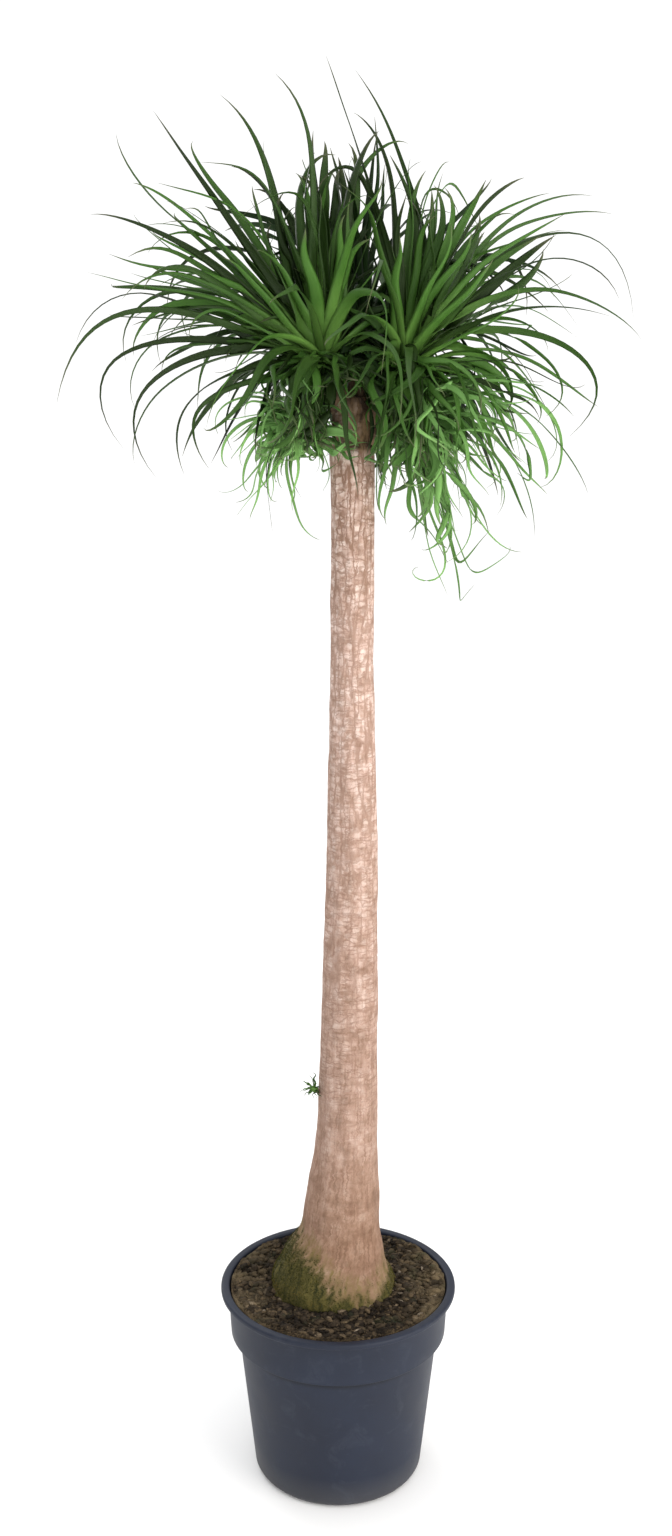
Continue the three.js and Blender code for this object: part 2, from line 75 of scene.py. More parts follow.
# %% [markdown]
# ## Helpers for materials
# Colours are easiest to read off a picture as sRGB hex codes, but Blender's shaders work in
# linear light, so one function turns one into the other. A second function adds a shader
# node with its settings and links, which keeps each material short enough to read. A third
# starts a material with the one shader that all of them use.

# %% Colour and node helpers
def linear(code, alpha=1.0):
    """An sRGB hex code as linear red, green, blue and alpha."""
    parts = [int(code[i:i + 2], 16) / 255 for i in (1, 3, 5)]
    curve = [c / 12.92 if c <= 0.04045 else ((c + 0.055) / 1.055) ** 2.4 for c in parts]
    return (*curve, alpha)


def add_node(tree, kind, links=None, inputs=None, stops=None, **settings):
    """A shader node with its settings, input values, colour stops and links to its inputs."""
    node = tree.nodes.new(kind)
    for name, value in settings.items():
        setattr(node, name, value)
    for name, value in (inputs or {}).items():
        node.inputs[name].default_value = value
    for name, socket in (links or {}).items():
        tree.links.new(socket, node.inputs[name])
    for k, (place, code) in enumerate(stops or []):
        elements = node.color_ramp.elements
        element = elements[k] if k < len(elements) else elements.new(place)
        element.position = place
        element.color = linear(code)
    return node


def new_material(name, roughness, ior, specular=0.5):
    """An empty material with one principled shader: returns the material, its tree and shader."""
    material = bpy.data.materials.new(name)
    material.use_nodes = True
    tree = material.node_tree
    tree.nodes.clear()
    shader = add_node(tree, "ShaderNodeBsdfPrincipled",
                      inputs={"Roughness": roughness, "IOR": ior, "Specular IOR Level": specular})
    add_node(tree, "ShaderNodeOutputMaterial", links={"Surface": shader.outputs["BSDF"]})
    return material, tree, shader


print("a middle grey in linear light:", [round(c, 3) for c in linear("#808080")[:3]])

# %% [markdown]
# ## Helpers for meshes
# Most pieces here are made point by point with a formula, because that gives exact sizes and
# the same plant in every run. One function turns points and faces into an object, hangs it on
# the plant's one body and hides the plain piece that it replaces. Values at the points, such as
# how mossy the bark is, are kept as named attributes that a material can read. Chance comes
# from a small stream of numbers with a seed, so that it is the same on every computer.

# %% Mesh helpers
def set_map(mesh, uvs, name, turn):
    """Gives every corner of a face its point's place on a map.

    Where a map closes on itself after a turn, the faces over the seam get the turn added.
    """
    layer = mesh.uv_layers.new(name=name)
    corners = np.empty(len(mesh.loops), dtype=np.int32)
    mesh.loops.foreach_get("vertex_index", corners)
    places = np.asarray(uvs, dtype=np.float32)[corners]
    if turn:
        for face in mesh.polygons:
            ring = places[face.loop_start:face.loop_start + face.loop_total, 0]
            if face.loop_total == 4 and ring.max() - ring.min() > turn / 2:
                ring[ring < turn / 2] += turn
    layer.data.foreach_set("uv", places.ravel())


def make_piece(name, points, faces, material, replaces=(), values=None, sharp=None,
               uvs=None, uv_name="blade", turn=0.0):
    """A mesh object in metres from points in millimetres, riding on the plant's one body."""
    mesh = bpy.data.meshes.new(name)
    mesh.from_pydata([tuple(p) for p in np.asarray(points, dtype=float) * MM], [], faces)
    mesh.shade_smooth()
    if sharp is not None:
        mesh.set_sharp_from_angle(angle=math.radians(sharp))
    if uvs is not None:
        set_map(mesh, uvs, uv_name, turn)
    for key, numbers in (values or {}).items():
        attribute = mesh.attributes.new(key, "FLOAT", "POINT")
        attribute.data.foreach_set("value", np.asarray(numbers, dtype=np.float32))
    mesh.materials.append(material)
    piece = bpy.data.objects.new(name, mesh)
    bpy.context.scene.collection.objects.link(piece)
    if replaces:
        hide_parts(*replaces)
    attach(piece, "root")
    triangles = sum(len(f) - 2 for f in faces)
    print(f"{name}: {triangles} triangles")
    return piece


def stack_faces(rings, sides, first=0, closed=True):
    """Quads between rings of equal point count that follow each other in the point list."""
    faces = []
    span = sides if closed else sides - 1
    for k in range(rings - 1):
        for i in range(span):
            a = first + k * sides + i
            b = first + k * sides + (i + 1) % sides
            faces.append((a, b, b + sides, a + sides))
    return faces


def circle(radius, sides):
    """Places on a level circle round the Z axis."""
    angles = [2 * math.pi * i / sides for i in range(sides)]
    return [(radius * math.cos(angle), radius * math.sin(angle)) for angle in angles]


def share_between(value, start, end):
    """How far a value has come from start to end, from 0 to 1."""
    return min(1.0, max(0.0, (value - start) / (end - start)))


def make_draw(seed):
    """A seeded stream of numbers. Its first numbers are thrown away, as close seeds start alike."""
    state = [seed & 0xFFFFFFFF]

    def draw(low, high):
        state[0] = (state[0] * 1664525 + 1013904223) & 0xFFFFFFFF
        return low + (high - low) * state[0] / 4294967296

    for _ in range(4):
        draw(0, 1)
    return draw


test_draw = make_draw(1)
print("three draws from 0 to 1:", [round(test_draw(0, 1), 2) for _ in range(3)])

# %% [markdown]
# ## The pot
# A nursery pot is injection-moulded from recycled polypropylene in one shot: a thin wall with
# a rolled lip, a tall rim band that stiffens it and lets a carrier grip it, a tapered body so
# that pots stack, and a rounded foot. It could be made with a spin of a drawn curve. We compute
# the same outline from its sizes and turn it round the axis, then drill the drainage holes
# with a boolean, just as the mould's pins leave them.

# %% Sizes of the pot
POT_HEIGHT = 292.0
LIP_RADIUS = 170.0
LIP_HEIGHT = 8.0
BAND_TOP_RADIUS = 160.0
BAND_FOOT_RADIUS = 156.0
BAND_HEIGHT = 71.0
BODY_TOP_RADIUS = 144.5
BODY_FOOT_RADIUS = 123.0
FOOT_FILLET = 14.0
WALL = 2.6
DRAIN_COUNT = 8
DRAIN_RADIUS = 6.0
DRAIN_CIRCLE = 82.0
POT_SIDES = 160


def arc(middle_r, middle_z, radius, start, end, steps):
    """Points of an arc in the outline's plane, with angles in degrees."""
    angles = np.radians(np.linspace(start, end, steps + 1))
    return [(middle_r + radius * math.cos(a), middle_z + radius * math.sin(a)) for a in angles]


def pot_outline():
    """The pot's wall as a closed outline: up the outside from the middle, then down the inside."""
    band_foot = POT_HEIGHT - BAND_HEIGHT
    lip_foot = POT_HEIGHT - LIP_HEIGHT
    flat = BODY_FOOT_RADIUS - FOOT_FILLET
    wall_steps = np.linspace(0.06, 0.97, 6)
    rise = band_foot - 6 - FOOT_FILLET
    slant = BODY_TOP_RADIUS - BODY_FOOT_RADIUS
    outline = [(0.3, 0.0), (flat * 0.6, 0.0), (flat - 3, 0.0)]
    # The rounded foot and the tapered body.
    outline += arc(flat, FOOT_FILLET, FOOT_FILLET, -90, 0, 10)
    outline += [(BODY_FOOT_RADIUS + slant * t, FOOT_FILLET + rise * t) for t in wall_steps]
    # The step out to the rim band, the band, and the corner under the lip.
    outline += arc(BODY_TOP_RADIUS + 3.2, band_foot - 5.5, 3.2, 180, 100, 5)
    outline += arc(BAND_FOOT_RADIUS - 1.6, band_foot + 0.4, 1.6, -90, 0, 4)
    outline += [(BAND_FOOT_RADIUS + 1.0, band_foot + 18), (BAND_TOP_RADIUS - 1.6, lip_foot - 14)]
    outline += arc(BAND_TOP_RADIUS + 1.8, lip_foot - 2.0, 2.0, 180, 90, 4)
    # The rolled lip, round its edge and over its top.
    outline += arc(LIP_RADIUS - 1.8, lip_foot + 1.8, 1.8, -90, 0, 4)
    outline += arc(LIP_RADIUS - 3.6, POT_HEIGHT - 3.6, 3.6, 0, 90, 6)
    outline += arc(BAND_TOP_RADIUS + 1.0, POT_HEIGHT - 3.4, 3.4, 90, 180, 5)
    # Down the inside to the floor.
    outline += [(BAND_TOP_RADIUS - WALL, lip_foot - 2), (BAND_FOOT_RADIUS - WALL, band_foot + 4)]
    outline += [(BODY_TOP_RADIUS - WALL, band_foot - 3)]
    outline += arc(flat, FOOT_FILLET, FOOT_FILLET - WALL, 0, -90, 6)
    outline += [(0.3, WALL)]
    return outline


def turned_piece(outline, sides):
    """Points and faces of an outline turned round the Z axis, with its open ends closed."""
    points = [(x, y, height) for radius, height in outline for x, y in circle(radius, sides)]
    faces = stack_faces(len(outline), sides)
    faces.append(tuple(reversed(range(sides))))
    faces.append(tuple(range(len(points) - sides, len(points))))
    return points, faces


print("outline points:", len(pot_outline()))

# %% [markdown]
# ## The pot's material: moulded polypropylene
# Injection-moulded polypropylene with carbon black and recycled stock comes out a matte
# blue-grey. The mould's fine spark-eroded skin spreads every highlight, so the lip shows a
# soft light line and never a sharp one. Three noise patterns do the rest: a broad one for
# handling marks, a finer one for faint rubbed patches, and a very fine one for the mould's
# grain. Dust lies thickest at the foot, and a painted shadow darkens the corner under the rim
# band. Both are placed by height alone. Each step has a function of its own, so that it can be
# read alone.

# %% Colour of handled plastic
def dusty_and_rubbed(tree, place, handling):
    """Blue-grey plastic with dust at the foot and faint rubbed patches."""
    tint = add_node(tree, "ShaderNodeValToRGB", links={"Fac": handling},
                    stops=[(0.35, "#151b2a"), (0.7, "#1d2434")])
    height = add_node(tree, "ShaderNodeSeparateXYZ", links={"Vector": place})
    dusty = add_node(tree, "ShaderNodeMapRange", links={"Value": height.outputs["Z"]},
                     inputs={"From Min": 0.05, "From Max": 0.0, "To Min": 0.0, "To Max": 0.25})
    dusted = add_node(tree, "ShaderNodeMix", data_type="RGBA",
                      links={0: dusty.outputs["Result"], 6: tint.outputs["Color"]},
                      inputs={7: linear("#6d6a64")})
    # The rubbed patches are a few centimetres long, from standing pot against pot.
    rubbing = add_node(tree, "ShaderNodeTexNoise", links={"Vector": place},
                       inputs={"Scale": 26.0, "Detail": 6.0, "Roughness": 0.7, "Distortion": 0.6})
    rubbed = add_node(tree, "ShaderNodeMapRange", links={"Value": rubbing.outputs["Fac"]},
                      inputs={"From Min": 0.54, "From Max": 0.7, "To Min": 0.0, "To Max": 0.1})
    colour = add_node(tree, "ShaderNodeMix", data_type="RGBA",
                      links={0: rubbed.outputs["Result"], 6: dusted.outputs[2]},
                      inputs={7: linear("#5b626e")})
    return colour.outputs[2]


# The corner under the rim band, in metres. A painted shadow darkens the body up to 8 mm above and
# below it.
SHADOW_LINE_HEIGHT = 0.2135
SHADOW_LINE_REACH = 0.008


def painted_corner_shadow(tree, place, colour):
    """Adds a painted shadow in the corner under the rim band to a colour."""
    height = add_node(tree, "ShaderNodeSeparateXYZ", links={"Vector": place})
    above = add_node(tree, "ShaderNodeMath", operation="SUBTRACT",
                     links={0: height.outputs["Z"]}, inputs={1: SHADOW_LINE_HEIGHT})
    away = add_node(tree, "ShaderNodeMath", operation="ABSOLUTE", links={0: above.outputs[0]})
    near = add_node(tree, "ShaderNodeMapRange", links={"Value": away.outputs[0]},
                    inputs={"From Min": SHADOW_LINE_REACH, "From Max": 0.002, "To Min": 0.0, "To Max": 0.6})
    # The painted shadow under the rim band is a near-black blue.
    shadowed = add_node(tree, "ShaderNodeMix", data_type="RGBA",
                     links={0: near.outputs["Result"], 6: colour},
                     inputs={7: linear("#0a0c11")})
    return shadowed.outputs[2]


# This prints the height of the painted shadow under the rim band.
print(f"shadow_line under the rim band at {SHADOW_LINE_HEIGHT / MM:.1f} mm")

# %% Moulded polypropylene
def moulded_polypropylene():
    material, tree, shader = new_material("moulded polypropylene", roughness=0.5, ior=1.49,
                                          specular=0.3)
    place = add_node(tree, "ShaderNodeTexCoord").outputs["Object"]
    handling = add_node(tree, "ShaderNodeTexNoise", links={"Vector": place},
                        inputs={"Scale": 9.0, "Detail": 5.0, "Roughness": 0.6}).outputs["Fac"]
    # A painted shadow darkens the corner under the rim band.
    colour = painted_corner_shadow(tree, place, dusty_and_rubbed(tree, place, handling))
    tree.links.new(colour, shader.inputs["Base Color"])
    gloss = add_node(tree, "ShaderNodeMapRange", links={"Value": handling},
                     inputs={"From Min": 0.3, "From Max": 0.7, "To Min": 0.44, "To Max": 0.58})
    tree.links.new(gloss.outputs["Result"], shader.inputs["Roughness"])
    # The mould's grain is about 0.3 mm, too fine for the picture, so it is drawn at 1 mm.
    grain = add_node(tree, "ShaderNodeTexNoise", links={"Vector": place},
                     inputs={"Scale": 1000.0, "Detail": 2.0})
    bump = add_node(tree, "ShaderNodeBump", links={"Height": grain.outputs["Fac"]},
                    inputs={"Strength": 0.12, "Distance": 0.0004})
    tree.links.new(bump.outputs["Normal"], shader.inputs["Normal"])
    return material


polypropylene = moulded_polypropylene()
print("made", polypropylene.name)

# %% [markdown]
# ## Turning and drilling the pot
# The outline is turned into 160 sides, enough for a smooth rim close to the camera. The holes
# are cut with eight round pins in one mesh, so that one boolean does the work. Its result is
# kept as the pot's own mesh, and the pins are removed again.

# %% Turn the pot and drill its drainage holes
DRAIN_SIDES = 32


def drilled(piece, radius, circle, count):
    """Cuts round holes through the floor of a piece with one boolean, and keeps the result."""
    cutter_mesh = bpy.data.meshes.new("drain_pins")
    shape = bmesh.new()
    for i in range(count):
        angle = (i + 0.5) * 2 * math.pi / count
        ring = bmesh.ops.create_cone(shape, cap_ends=True, segments=DRAIN_SIDES, radius1=radius * MM,
                                     radius2=radius * MM, depth=6 * WALL * MM)
        middle = Vector((circle * math.cos(angle), circle * math.sin(angle), WALL / 2)) * MM
        bmesh.ops.translate(shape, verts=ring["verts"], vec=middle)
    shape.to_mesh(cutter_mesh)
    shape.free()
    cutter = bpy.data.objects.new("drain_pins", cutter_mesh)
    bpy.context.scene.collection.objects.link(cutter)
    cut = piece.modifiers.new("drill", "BOOLEAN")
    cut.operation = "DIFFERENCE"
    cut.object = cutter
    bpy.context.view_layer.update()
    solid = bpy.data.meshes.new_from_object(piece.evaluated_get(
        bpy.context.evaluated_depsgraph_get()))
    piece.modifiers.clear()
    piece.data = solid
    bpy.data.objects.remove(cutter)
    bpy.data.meshes.remove(cutter_mesh)


pot_points, pot_faces = turned_piece(pot_outline(), POT_SIDES)
pot = make_piece("nursery_pot", pot_points, pot_faces, polypropylene,
                 replaces=["pot"], sharp=40)
drilled(pot, DRAIN_RADIUS, DRAIN_CIRCLE, DRAIN_COUNT)
print("holes in the floor:", DRAIN_COUNT)

# %% [markdown]
# ## The stem's shape
# The stem of a ponytail palm stores water in a swollen foot and is slim above it. A few sizes
# at chosen heights describe it, and a smooth curve joins them. The foot is a little flatter
# from front to back and has faint lobes where the thick roots start. The same rule made the
# plain model, so both have the same shape, and here we add far more points.

# %% Sizes of the stem
# A height, how far to the right the middle lies there, and the radius.
STEM_STATIONS = [
    (110, 0, 30), (200, -3, 72), (262, -4, 91), (304, -10, 86), (322, -9, 77), (345, -5.5, 70),
    (379, 2, 57), (418, 5, 54), (512, 11.5, 44.5), (635, 15, 40.5), (785, 17, 37.5),
    (958, 19, 34.5), (1125, 19, 30.8), (1207, 18, 28.7), (1400, 19, 28.2), (1488, 18, 28.6),
    (1494, 18, 26.5), (1538, 19, 26), (1552, 20, 17),
]
FOOT_TOP = 420.0
FOOT_FLATTENING = 0.08
FOOT_LOBES = 0.03
SOIL_EDGE = 283.0
SOIL_RISE = 6.0
SOIL_EDGE_RADIUS = 156.0


def stem_at(height):
    """The sideways place of the stem's middle and its radius at one height."""
    last = len(STEM_STATIONS) - 1
    k = 0
    while k < last - 1 and height > STEM_STATIONS[k + 1][0]:
        k += 1
    start, end = STEM_STATIONS[k], STEM_STATIONS[k + 1]
    before, after = STEM_STATIONS[max(k - 1, 0)], STEM_STATIONS[min(k + 2, last)]
    span = end[0] - start[0]
    t = (height - start[0]) / span
    result = []
    for column in (1, 2):
        slope_in = (end[column] - before[column]) / (end[0] - before[0]) * span
        slope_out = (after[column] - start[column]) / (after[0] - start[0]) * span
        result.append((2 * t**3 - 3 * t**2 + 1) * start[column]
                      + (t**3 - 2 * t**2 + t) * slope_in
                      + (3 * t**2 - 2 * t**3) * end[column] + (t**3 - t**2) * slope_out)
    return result


def foot_share(height):
    """How much of the foot's lobes and flattening a height has: none on the slim stem."""
    return share_between(height, FOOT_TOP, SOIL_EDGE)


def stem_point(height, angle, extra=0.0):
    """A point on the stem's skin, moved out by extra."""
    middle, radius = stem_at(height)
    share = foot_share(height)
    bare = 1.0 if height > SOIL_EDGE + SOIL_RISE else 0.0
    out = radius * (1 + FOOT_LOBES * share * bare * math.sin(3 * angle + 1)) + extra
    deep = 1 - FOOT_FLATTENING * share
    return (middle + out * math.cos(angle), out * deep * math.sin(angle), height)


for height in (300, 600, 1000, 1400):
    middle, radius = stem_at(height)
    print(f"at {height} mm the stem is {2 * radius:.0f} mm thick and {middle:.0f} mm to the right")

# %% [markdown]
# ## The leaf heads and their outline leaves
# Five short branches carry the crown. Two large rosettes stand left and right, a third one
# behind them, and two shoots with short curly leaves hang below. A tiny sprout grows from the
# stem a third of the way up. The leaves that give the crown its outline were placed one by one
# from the photo. Most others come from one rule, which draws from each head's own ranges.

# %% Sizes and places of the heads
# A branch runs from its foot to its seat, where the leaves start along the head's axis. Lengths
# and widths are in millimetres. Spread is a leaf's angle from the axis in radians, and droop
# is how much its way turns down after each third.
HEADS = {
    "head_left": dict(
        foot=(12, -2, 1528), seat=(-10, -8, 1562), axis=(-0.3, -0.15, 0.94), branch=15, size=1,
        count=38, seed=12, length=(300, 440), width=(11, 19), spread=(0.1, 1.75),
        droop=(0.1, 1.0), curl=10),
    "head_right": dict(
        foot=(30, -2, 1522), seat=(74, -10, 1550), axis=(0.35, -0.2, 0.92), branch=15, size=1,
        count=42, seed=26, length=(290, 430), width=(11, 19), spread=(0.1, 1.75),
        droop=(0.1, 1.0), curl=10),
    "head_back": dict(
        foot=(22, 8, 1535), seat=(28, 46, 1578), axis=(0.05, 0.5, 0.86), branch=13, size=0.9,
        count=34, seed=37, length=(260, 400), width=(9, 16), spread=(0.1, 1.7),
        droop=(0.1, 1.0), curl=12),
    "shoot_low_left": dict(
        foot=(6, -6, 1484), seat=(-36, -12, 1502), axis=(-0.75, -0.35, 0.45), branch=8, size=0.6,
        count=34, seed=41, length=(80, 165), width=(5, 9), spread=(0.2, 1.6),
        droop=(0.5, 1.3), curl=12),
    "shoot_low_right": dict(
        foot=(30, -4, 1494), seat=(72, -8, 1512), axis=(0.85, -0.35, 0.3), branch=10, size=0.75,
        count=42, seed=59, length=(130, 290), width=(6, 11), spread=(0.1, 1.5),
        droop=(0.5, 1.3), curl=16),
    "side_sprout": dict(
        foot=(-18, -6, 590), seat=(-30, -12, 596), axis=(-0.6, -0.5, 0.6), branch=3.5, size=0.24,
        count=9, seed=71, length=(14, 26), width=(2.6, 4), spread=(0.2, 1.3),
        droop=(0.1, 0.5), curl=1),
}

print("heads:", ", ".join(HEADS))

# %% Leaves that make the outline
# Each has a width, a lean to the back (or to the front, below 0), and the sideways place and
# height that it passes at a third and at two thirds of its way, and at its tip.
OUTLINE_LEAVES = {
    "head_left": [
        (20, -40, (-33, 1695), (-30, 1825), (-86, 1935)),
        (16, 30, (-62, 1690), (-84, 1815), (-147, 1920)),
        (17, -50, (-75, 1685), (-150, 1790), (-217, 1900)),
        (15, 40, (-97, 1684), (-205, 1770), (-305, 1862)),
        (15, -70, (-100, 1668), (-200, 1742), (-309, 1757)),
        (15, 20, (-120, 1630), (-237, 1679), (-353, 1633)),
        (11, -90, (-135, 1640), (-262, 1655), (-350, 1550)),
        (12, -40, (-140, 1622), (-270, 1606), (-313, 1485)),
        (14, -60, (-132, 1612), (-238, 1568), (-253, 1447)),
        (10, -110, (-112, 1590), (-186, 1545), (-187, 1461)),
        (9, -75, (-100, 1575), (-172, 1540), (-158, 1466)),
        (22, -95, (-48, 1650), (-82, 1728), (-120, 1800)),
        (22, -70, (-16, 1650), (-20, 1728), (-28, 1800)),
        (20, -55, (0, 1650), (8, 1722), (20, 1796)),
        (18, -100, (-100, 1655), (-172, 1704), (-245, 1712)),
    ],
    "head_right": [
        (13, -25, (70, 1712), (27, 1842), (2, 1969)),
        (14, 60, (112, 1705), (85, 1832), (24, 1955)),
        (22, -60, (112, 1668), (158, 1757), (216, 1830)),
        (20, -100, (130, 1645), (180, 1702), (240, 1750)),
        (20, -35, (100, 1665), (122, 1738), (150, 1810)),
        (10, 90, (92, 1690), (108, 1795), (166, 1800)),
        (14, 50, (138, 1682), (213, 1768), (323, 1818)),
        (12, 100, (145, 1690), (240, 1768), (366, 1748)),
        (11, -20, (155, 1695), (285, 1752), (368, 1650)),
        (14, -75, (152, 1665), (250, 1718), (359, 1693)),
        (12, -40, (165, 1662), (283, 1680), (364, 1590)),
        (11, -120, (180, 1635), (295, 1604), (284, 1508)),
        (11, -150, (160, 1640), (240, 1662), (325, 1650)),
        (18, -60, (78, 1650), (74, 1725), (80, 1800)),
        (16, -115, (88, 1612), (96, 1575), (100, 1465)),
        (14, -135, (70, 1618), (60, 1590), (58, 1515)),
    ],
    "shoot_low_left": [
        (5, -35, (-66, 1470), (-54, 1410), (-20, 1376)),
        (6, -20, (-84, 1485), (-118, 1448), (-150, 1418)),
        (6, -45, (-72, 1475), (-100, 1440), (-128, 1402)),
    ],
    "shoot_low_right": [
        (11, -45, (104, 1450), (112, 1385), (150, 1302)),
        (9, -35, (78, 1480), (66, 1435), (52, 1392)),
        (7, -20, (136, 1480), (180, 1400), (238, 1357)),
        (8, 40, (150, 1540), (225, 1475), (262, 1370)),
        (9, -60, (165, 1560), (255, 1520), (303, 1422)),
        (11, -85, (150, 1575), (230, 1572), (289, 1530)),
        (9, -70, (132, 1540), (187, 1488), (213, 1418)),
    ],
}
print("outline leaves:", sum(len(rows) for rows in OUTLINE_LEAVES.values()))

# %% [markdown]
# ## How a leaf runs
# A leaf's middle line passes four knots: its root, two places on its way and its tip. A cubic
# curve through four given places is the simplest smooth line that does so, and a slow sway
# that grows towards the tip makes the end curl. The blade narrows slowly at first and then
# runs out to a hair. Most blades also turn over on their way, which shows their flat side.

# %% The curve and width of a leaf
LEAN_AT_THIRD = 0.35
LEAN_AT_TWO_THIRDS = 0.72
TAPER = 1.6
LEAST_BLADE = 0.9
GOLDEN_ANGLE = math.pi * (3 - math.sqrt(5))
CORE_LENGTH = 58.0
CORE_RADIUS = 19.0


def unit(v):
    """A direction of length 1."""
    v = np.asarray(v, dtype=float)
    return v / np.linalg.norm(v)


def across_axis(axis):
    """Two directions across an axis, for rings drawn around it."""
    side = unit(np.cross(axis, (0.0, 1.0, 0.0)))
    return side, np.cross(axis, side)


def leaf_points(leaf, t):
    """Points of a leaf's middle line at an array of shares t of its length."""
    weights = [
        (1 - 3 * t) * (2 - 3 * t) * (1 - t) / 2,
        9 * t * (2 - 3 * t) * (1 - t) / 2,
        9 * t * (3 * t - 1) * (1 - t) / 2,
        t * (3 * t - 1) * (3 * t - 2) / 2,
    ]
    points = sum(w[:, None] * knot for w, knot in zip(weights, leaf["knots"]))
    sway = leaf["curl"] * t * t
    points = points + (sway * np.sin(9 * t + leaf["phase"]))[:, None] * leaf["side"]
    points[:, 2] += 0.6 * sway * np.cos(9 * t + leaf["phase"])
    return points


def leaf_widths(leaf, t, least=LEAST_BLADE):
    """Widths of a blade along its length, with a slightly narrower neck at the root."""
    neck = 0.72 + 0.28 * np.sin(np.minimum(1, t / 0.25) * math.pi / 2)
    return np.maximum(least, leaf["width"] * neck * (1 - t ** leaf.get("taper", TAPER)) ** 0.9)


def finish_leaf(leaf):
    """Fills in the level direction across the leaf, and no turn where none is given."""
    run = leaf["knots"][3] - leaf["knots"][0]
    plan = math.hypot(run[0], run[1])
    side = (-run[1] / plan, run[0] / plan, 0.0) if plan > 1 else (1.0, 0.0, 0.0)
    leaf["side"] = np.array(side)
    leaf.setdefault("flip", 0.0)
    leaf.setdefault("flip_place", 0.5)
    return leaf


print("the rule turns each leaf from the last by", round(math.degrees(GOLDEN_ANGLE), 1), "degrees")

# %% [markdown]
# ## Two ways to place a leaf
# A leaf of the outline is given, and only its root and twist are left to chance. A grown leaf
# comes from the rule of many rosettes: each new leaf stands a golden angle further round than
# the last, so that no two lie right above each other, and old leaves spread wider and hang
# lower.

# %% Given leaves and grown leaves
def outline_leaf(head, row, draw):
    """A leaf whose tip and places on its way are given."""
    width, lean, third, two_thirds, tip = row
    height = draw(0.3, 0.65) * CORE_LENGTH * head["size"]
    root = np.array(head["seat"], dtype=float) + unit(head["axis"]) * height
    knots = [root]
    shares = (LEAN_AT_THIRD, LEAN_AT_TWO_THIRDS, 1.0)
    for (x, z), share in zip((third, two_thirds, tip), shares):
        knots.append(np.array((x, root[1] + lean * share, z), dtype=float))
    return finish_leaf(dict(width=width, knots=knots, curl=0.0, phase=0.0, twist=draw(-1, 1),
                            age=0.5))


def grown_leaf(head, index, draw):
    """A leaf from the rule: young ones stand near the head's axis, old ones spread and hang."""
    axis = unit(head["axis"])
    u, v = across_axis(axis)
    age = (index + draw(0, 1)) / head["count"]
    around = index * GOLDEN_ANGLE + draw(-0.5, 0.5)
    if "sector" in head:
        around = draw(*head["sector"])
    spread = head["spread"][0] + (head["spread"][1] - head["spread"][0]) * age ** 0.8
    length = draw(*head["length"])
    width = draw(*head["width"])
    droop = (head["droop"][0] + (head["droop"][1] - head["droop"][0]) * age) * draw(0.6, 1.3)
    curl = head["curl"] * draw(-1, 1)
    phase = draw(0, 6)
    twist = draw(-2, 2)
    height = (0.7 - 0.45 * age) * CORE_LENGTH * head["size"]
    knots = [np.array(head["seat"], dtype=float) + axis * height]
    way = (axis * math.cos(spread) + u * math.sin(spread) * math.cos(around)
           + v * math.sin(spread) * math.sin(around))
    for k in range(3):
        knots.append(knots[k] + way * length / 3)
        way = way - np.array((0.0, 0.0, droop * (1 + 0.6 * k)))
        if "bend" in head:
            turn = head["bend"] * draw(-1, 1)
            way = np.array((way[0] * math.cos(turn) - way[1] * math.sin(turn),
                            way[0] * math.sin(turn) + way[1] * math.cos(turn), way[2]))
        way = way / np.linalg.norm(way)
    return finish_leaf(dict(width=width, knots=knots, curl=curl, phase=phase, twist=twist,
                            age=age))


test_leaf = grown_leaf(HEADS["head_left"], 20, make_draw(1))
print("a test leaf ends at", [round(float(c)) for c in leaf_points(test_leaf, np.array([1.0]))[0]])

# %% [markdown]
# ## Growing the crown
# Here a grown leaf keeps clear of the other heads' leaves and of the wood, as in the plain
# model. Each leaf that is placed fills the small cells of space around it, and a new leaf is
# drawn again, up to sixty times, until it is free of the cells of the other heads, the stem
# and the branches. The heads take turns, so that none gets all the room.

# %% Keep clear of the wood
ROOM = 10.0
STEM_ROOM = 2.0
PATH_SAMPLES = 64
MOST_TRIES = 60
CROWN_MIDDLE = np.array((8.0, 0.0, 1600.0))
CROWN_RADII = dict(side=345.0, deep=310.0, up=290.0, down=275.0)
SHARES = np.arange(PATH_SAMPLES + 1) / PATH_SAMPLES


def distances_to_segment(points, start, end):
    """How far points lie from a straight line between two places."""
    line = end - start
    t = np.clip((points - start) @ line / (line @ line), 0, 1)
    return np.linalg.norm(points - (start + t[:, None] * line), axis=1)


def things_to_pass(name):
    """The branches and the other heads' cores, as capsules that a leaf has to pass."""
    capsules = []
    for other, head in HEADS.items():
        seat = np.array(head["seat"], dtype=float)
        foot = np.array(head["foot"], dtype=float)
        capsules.append((foot, seat, head["branch"] + 2))
        if other != name:
            end = seat + unit(head["axis"]) * 45 * head["size"]
            capsules.append((seat, end, CORE_RADIUS * head["size"] + 2))
    return capsules


def is_in_crown(points, scale=1.0):
    """The crown's main body is an egg shape that only outline leaves stand out of."""
    offset = points - CROWN_MIDDLE
    tall = np.where(offset[:, 2] > 0, CROWN_RADII["up"], CROWN_RADII["down"])
    reach = (offset[:, 0] / CROWN_RADII["side"]) ** 2 + (offset[:, 1] / CROWN_RADII["deep"]) ** 2
    return bool(np.all(reach + (offset[:, 2] / tall) ** 2 < scale))


def passes_wood(points, halves, head, capsules):
    """True if a leaf clears the stem and all capsules once it is out of its own core."""
    outside = np.linalg.norm(points - points[0], axis=1) > 1.3 * CORE_RADIUS * head["size"]
    for start, end, radius in capsules:
        if np.any(outside & (distances_to_segment(points, start, end) < radius + halves)):
            return False
    for point, half in zip(points[outside], halves[outside]):
        if point[2] <= STEM_STATIONS[-1][0]:
            middle, radius = stem_at(point[2])
            if math.hypot(point[0] - middle, point[1]) < radius + half + STEM_ROOM:
                return False
    return True


print("a cell of space is", ROOM, "mm wide")

# %% Grow the leaves
def cells_of(points):
    """The small cells of space that hold the points."""
    return {tuple(c) for c in np.floor(points / ROOM).astype(int).tolist()}


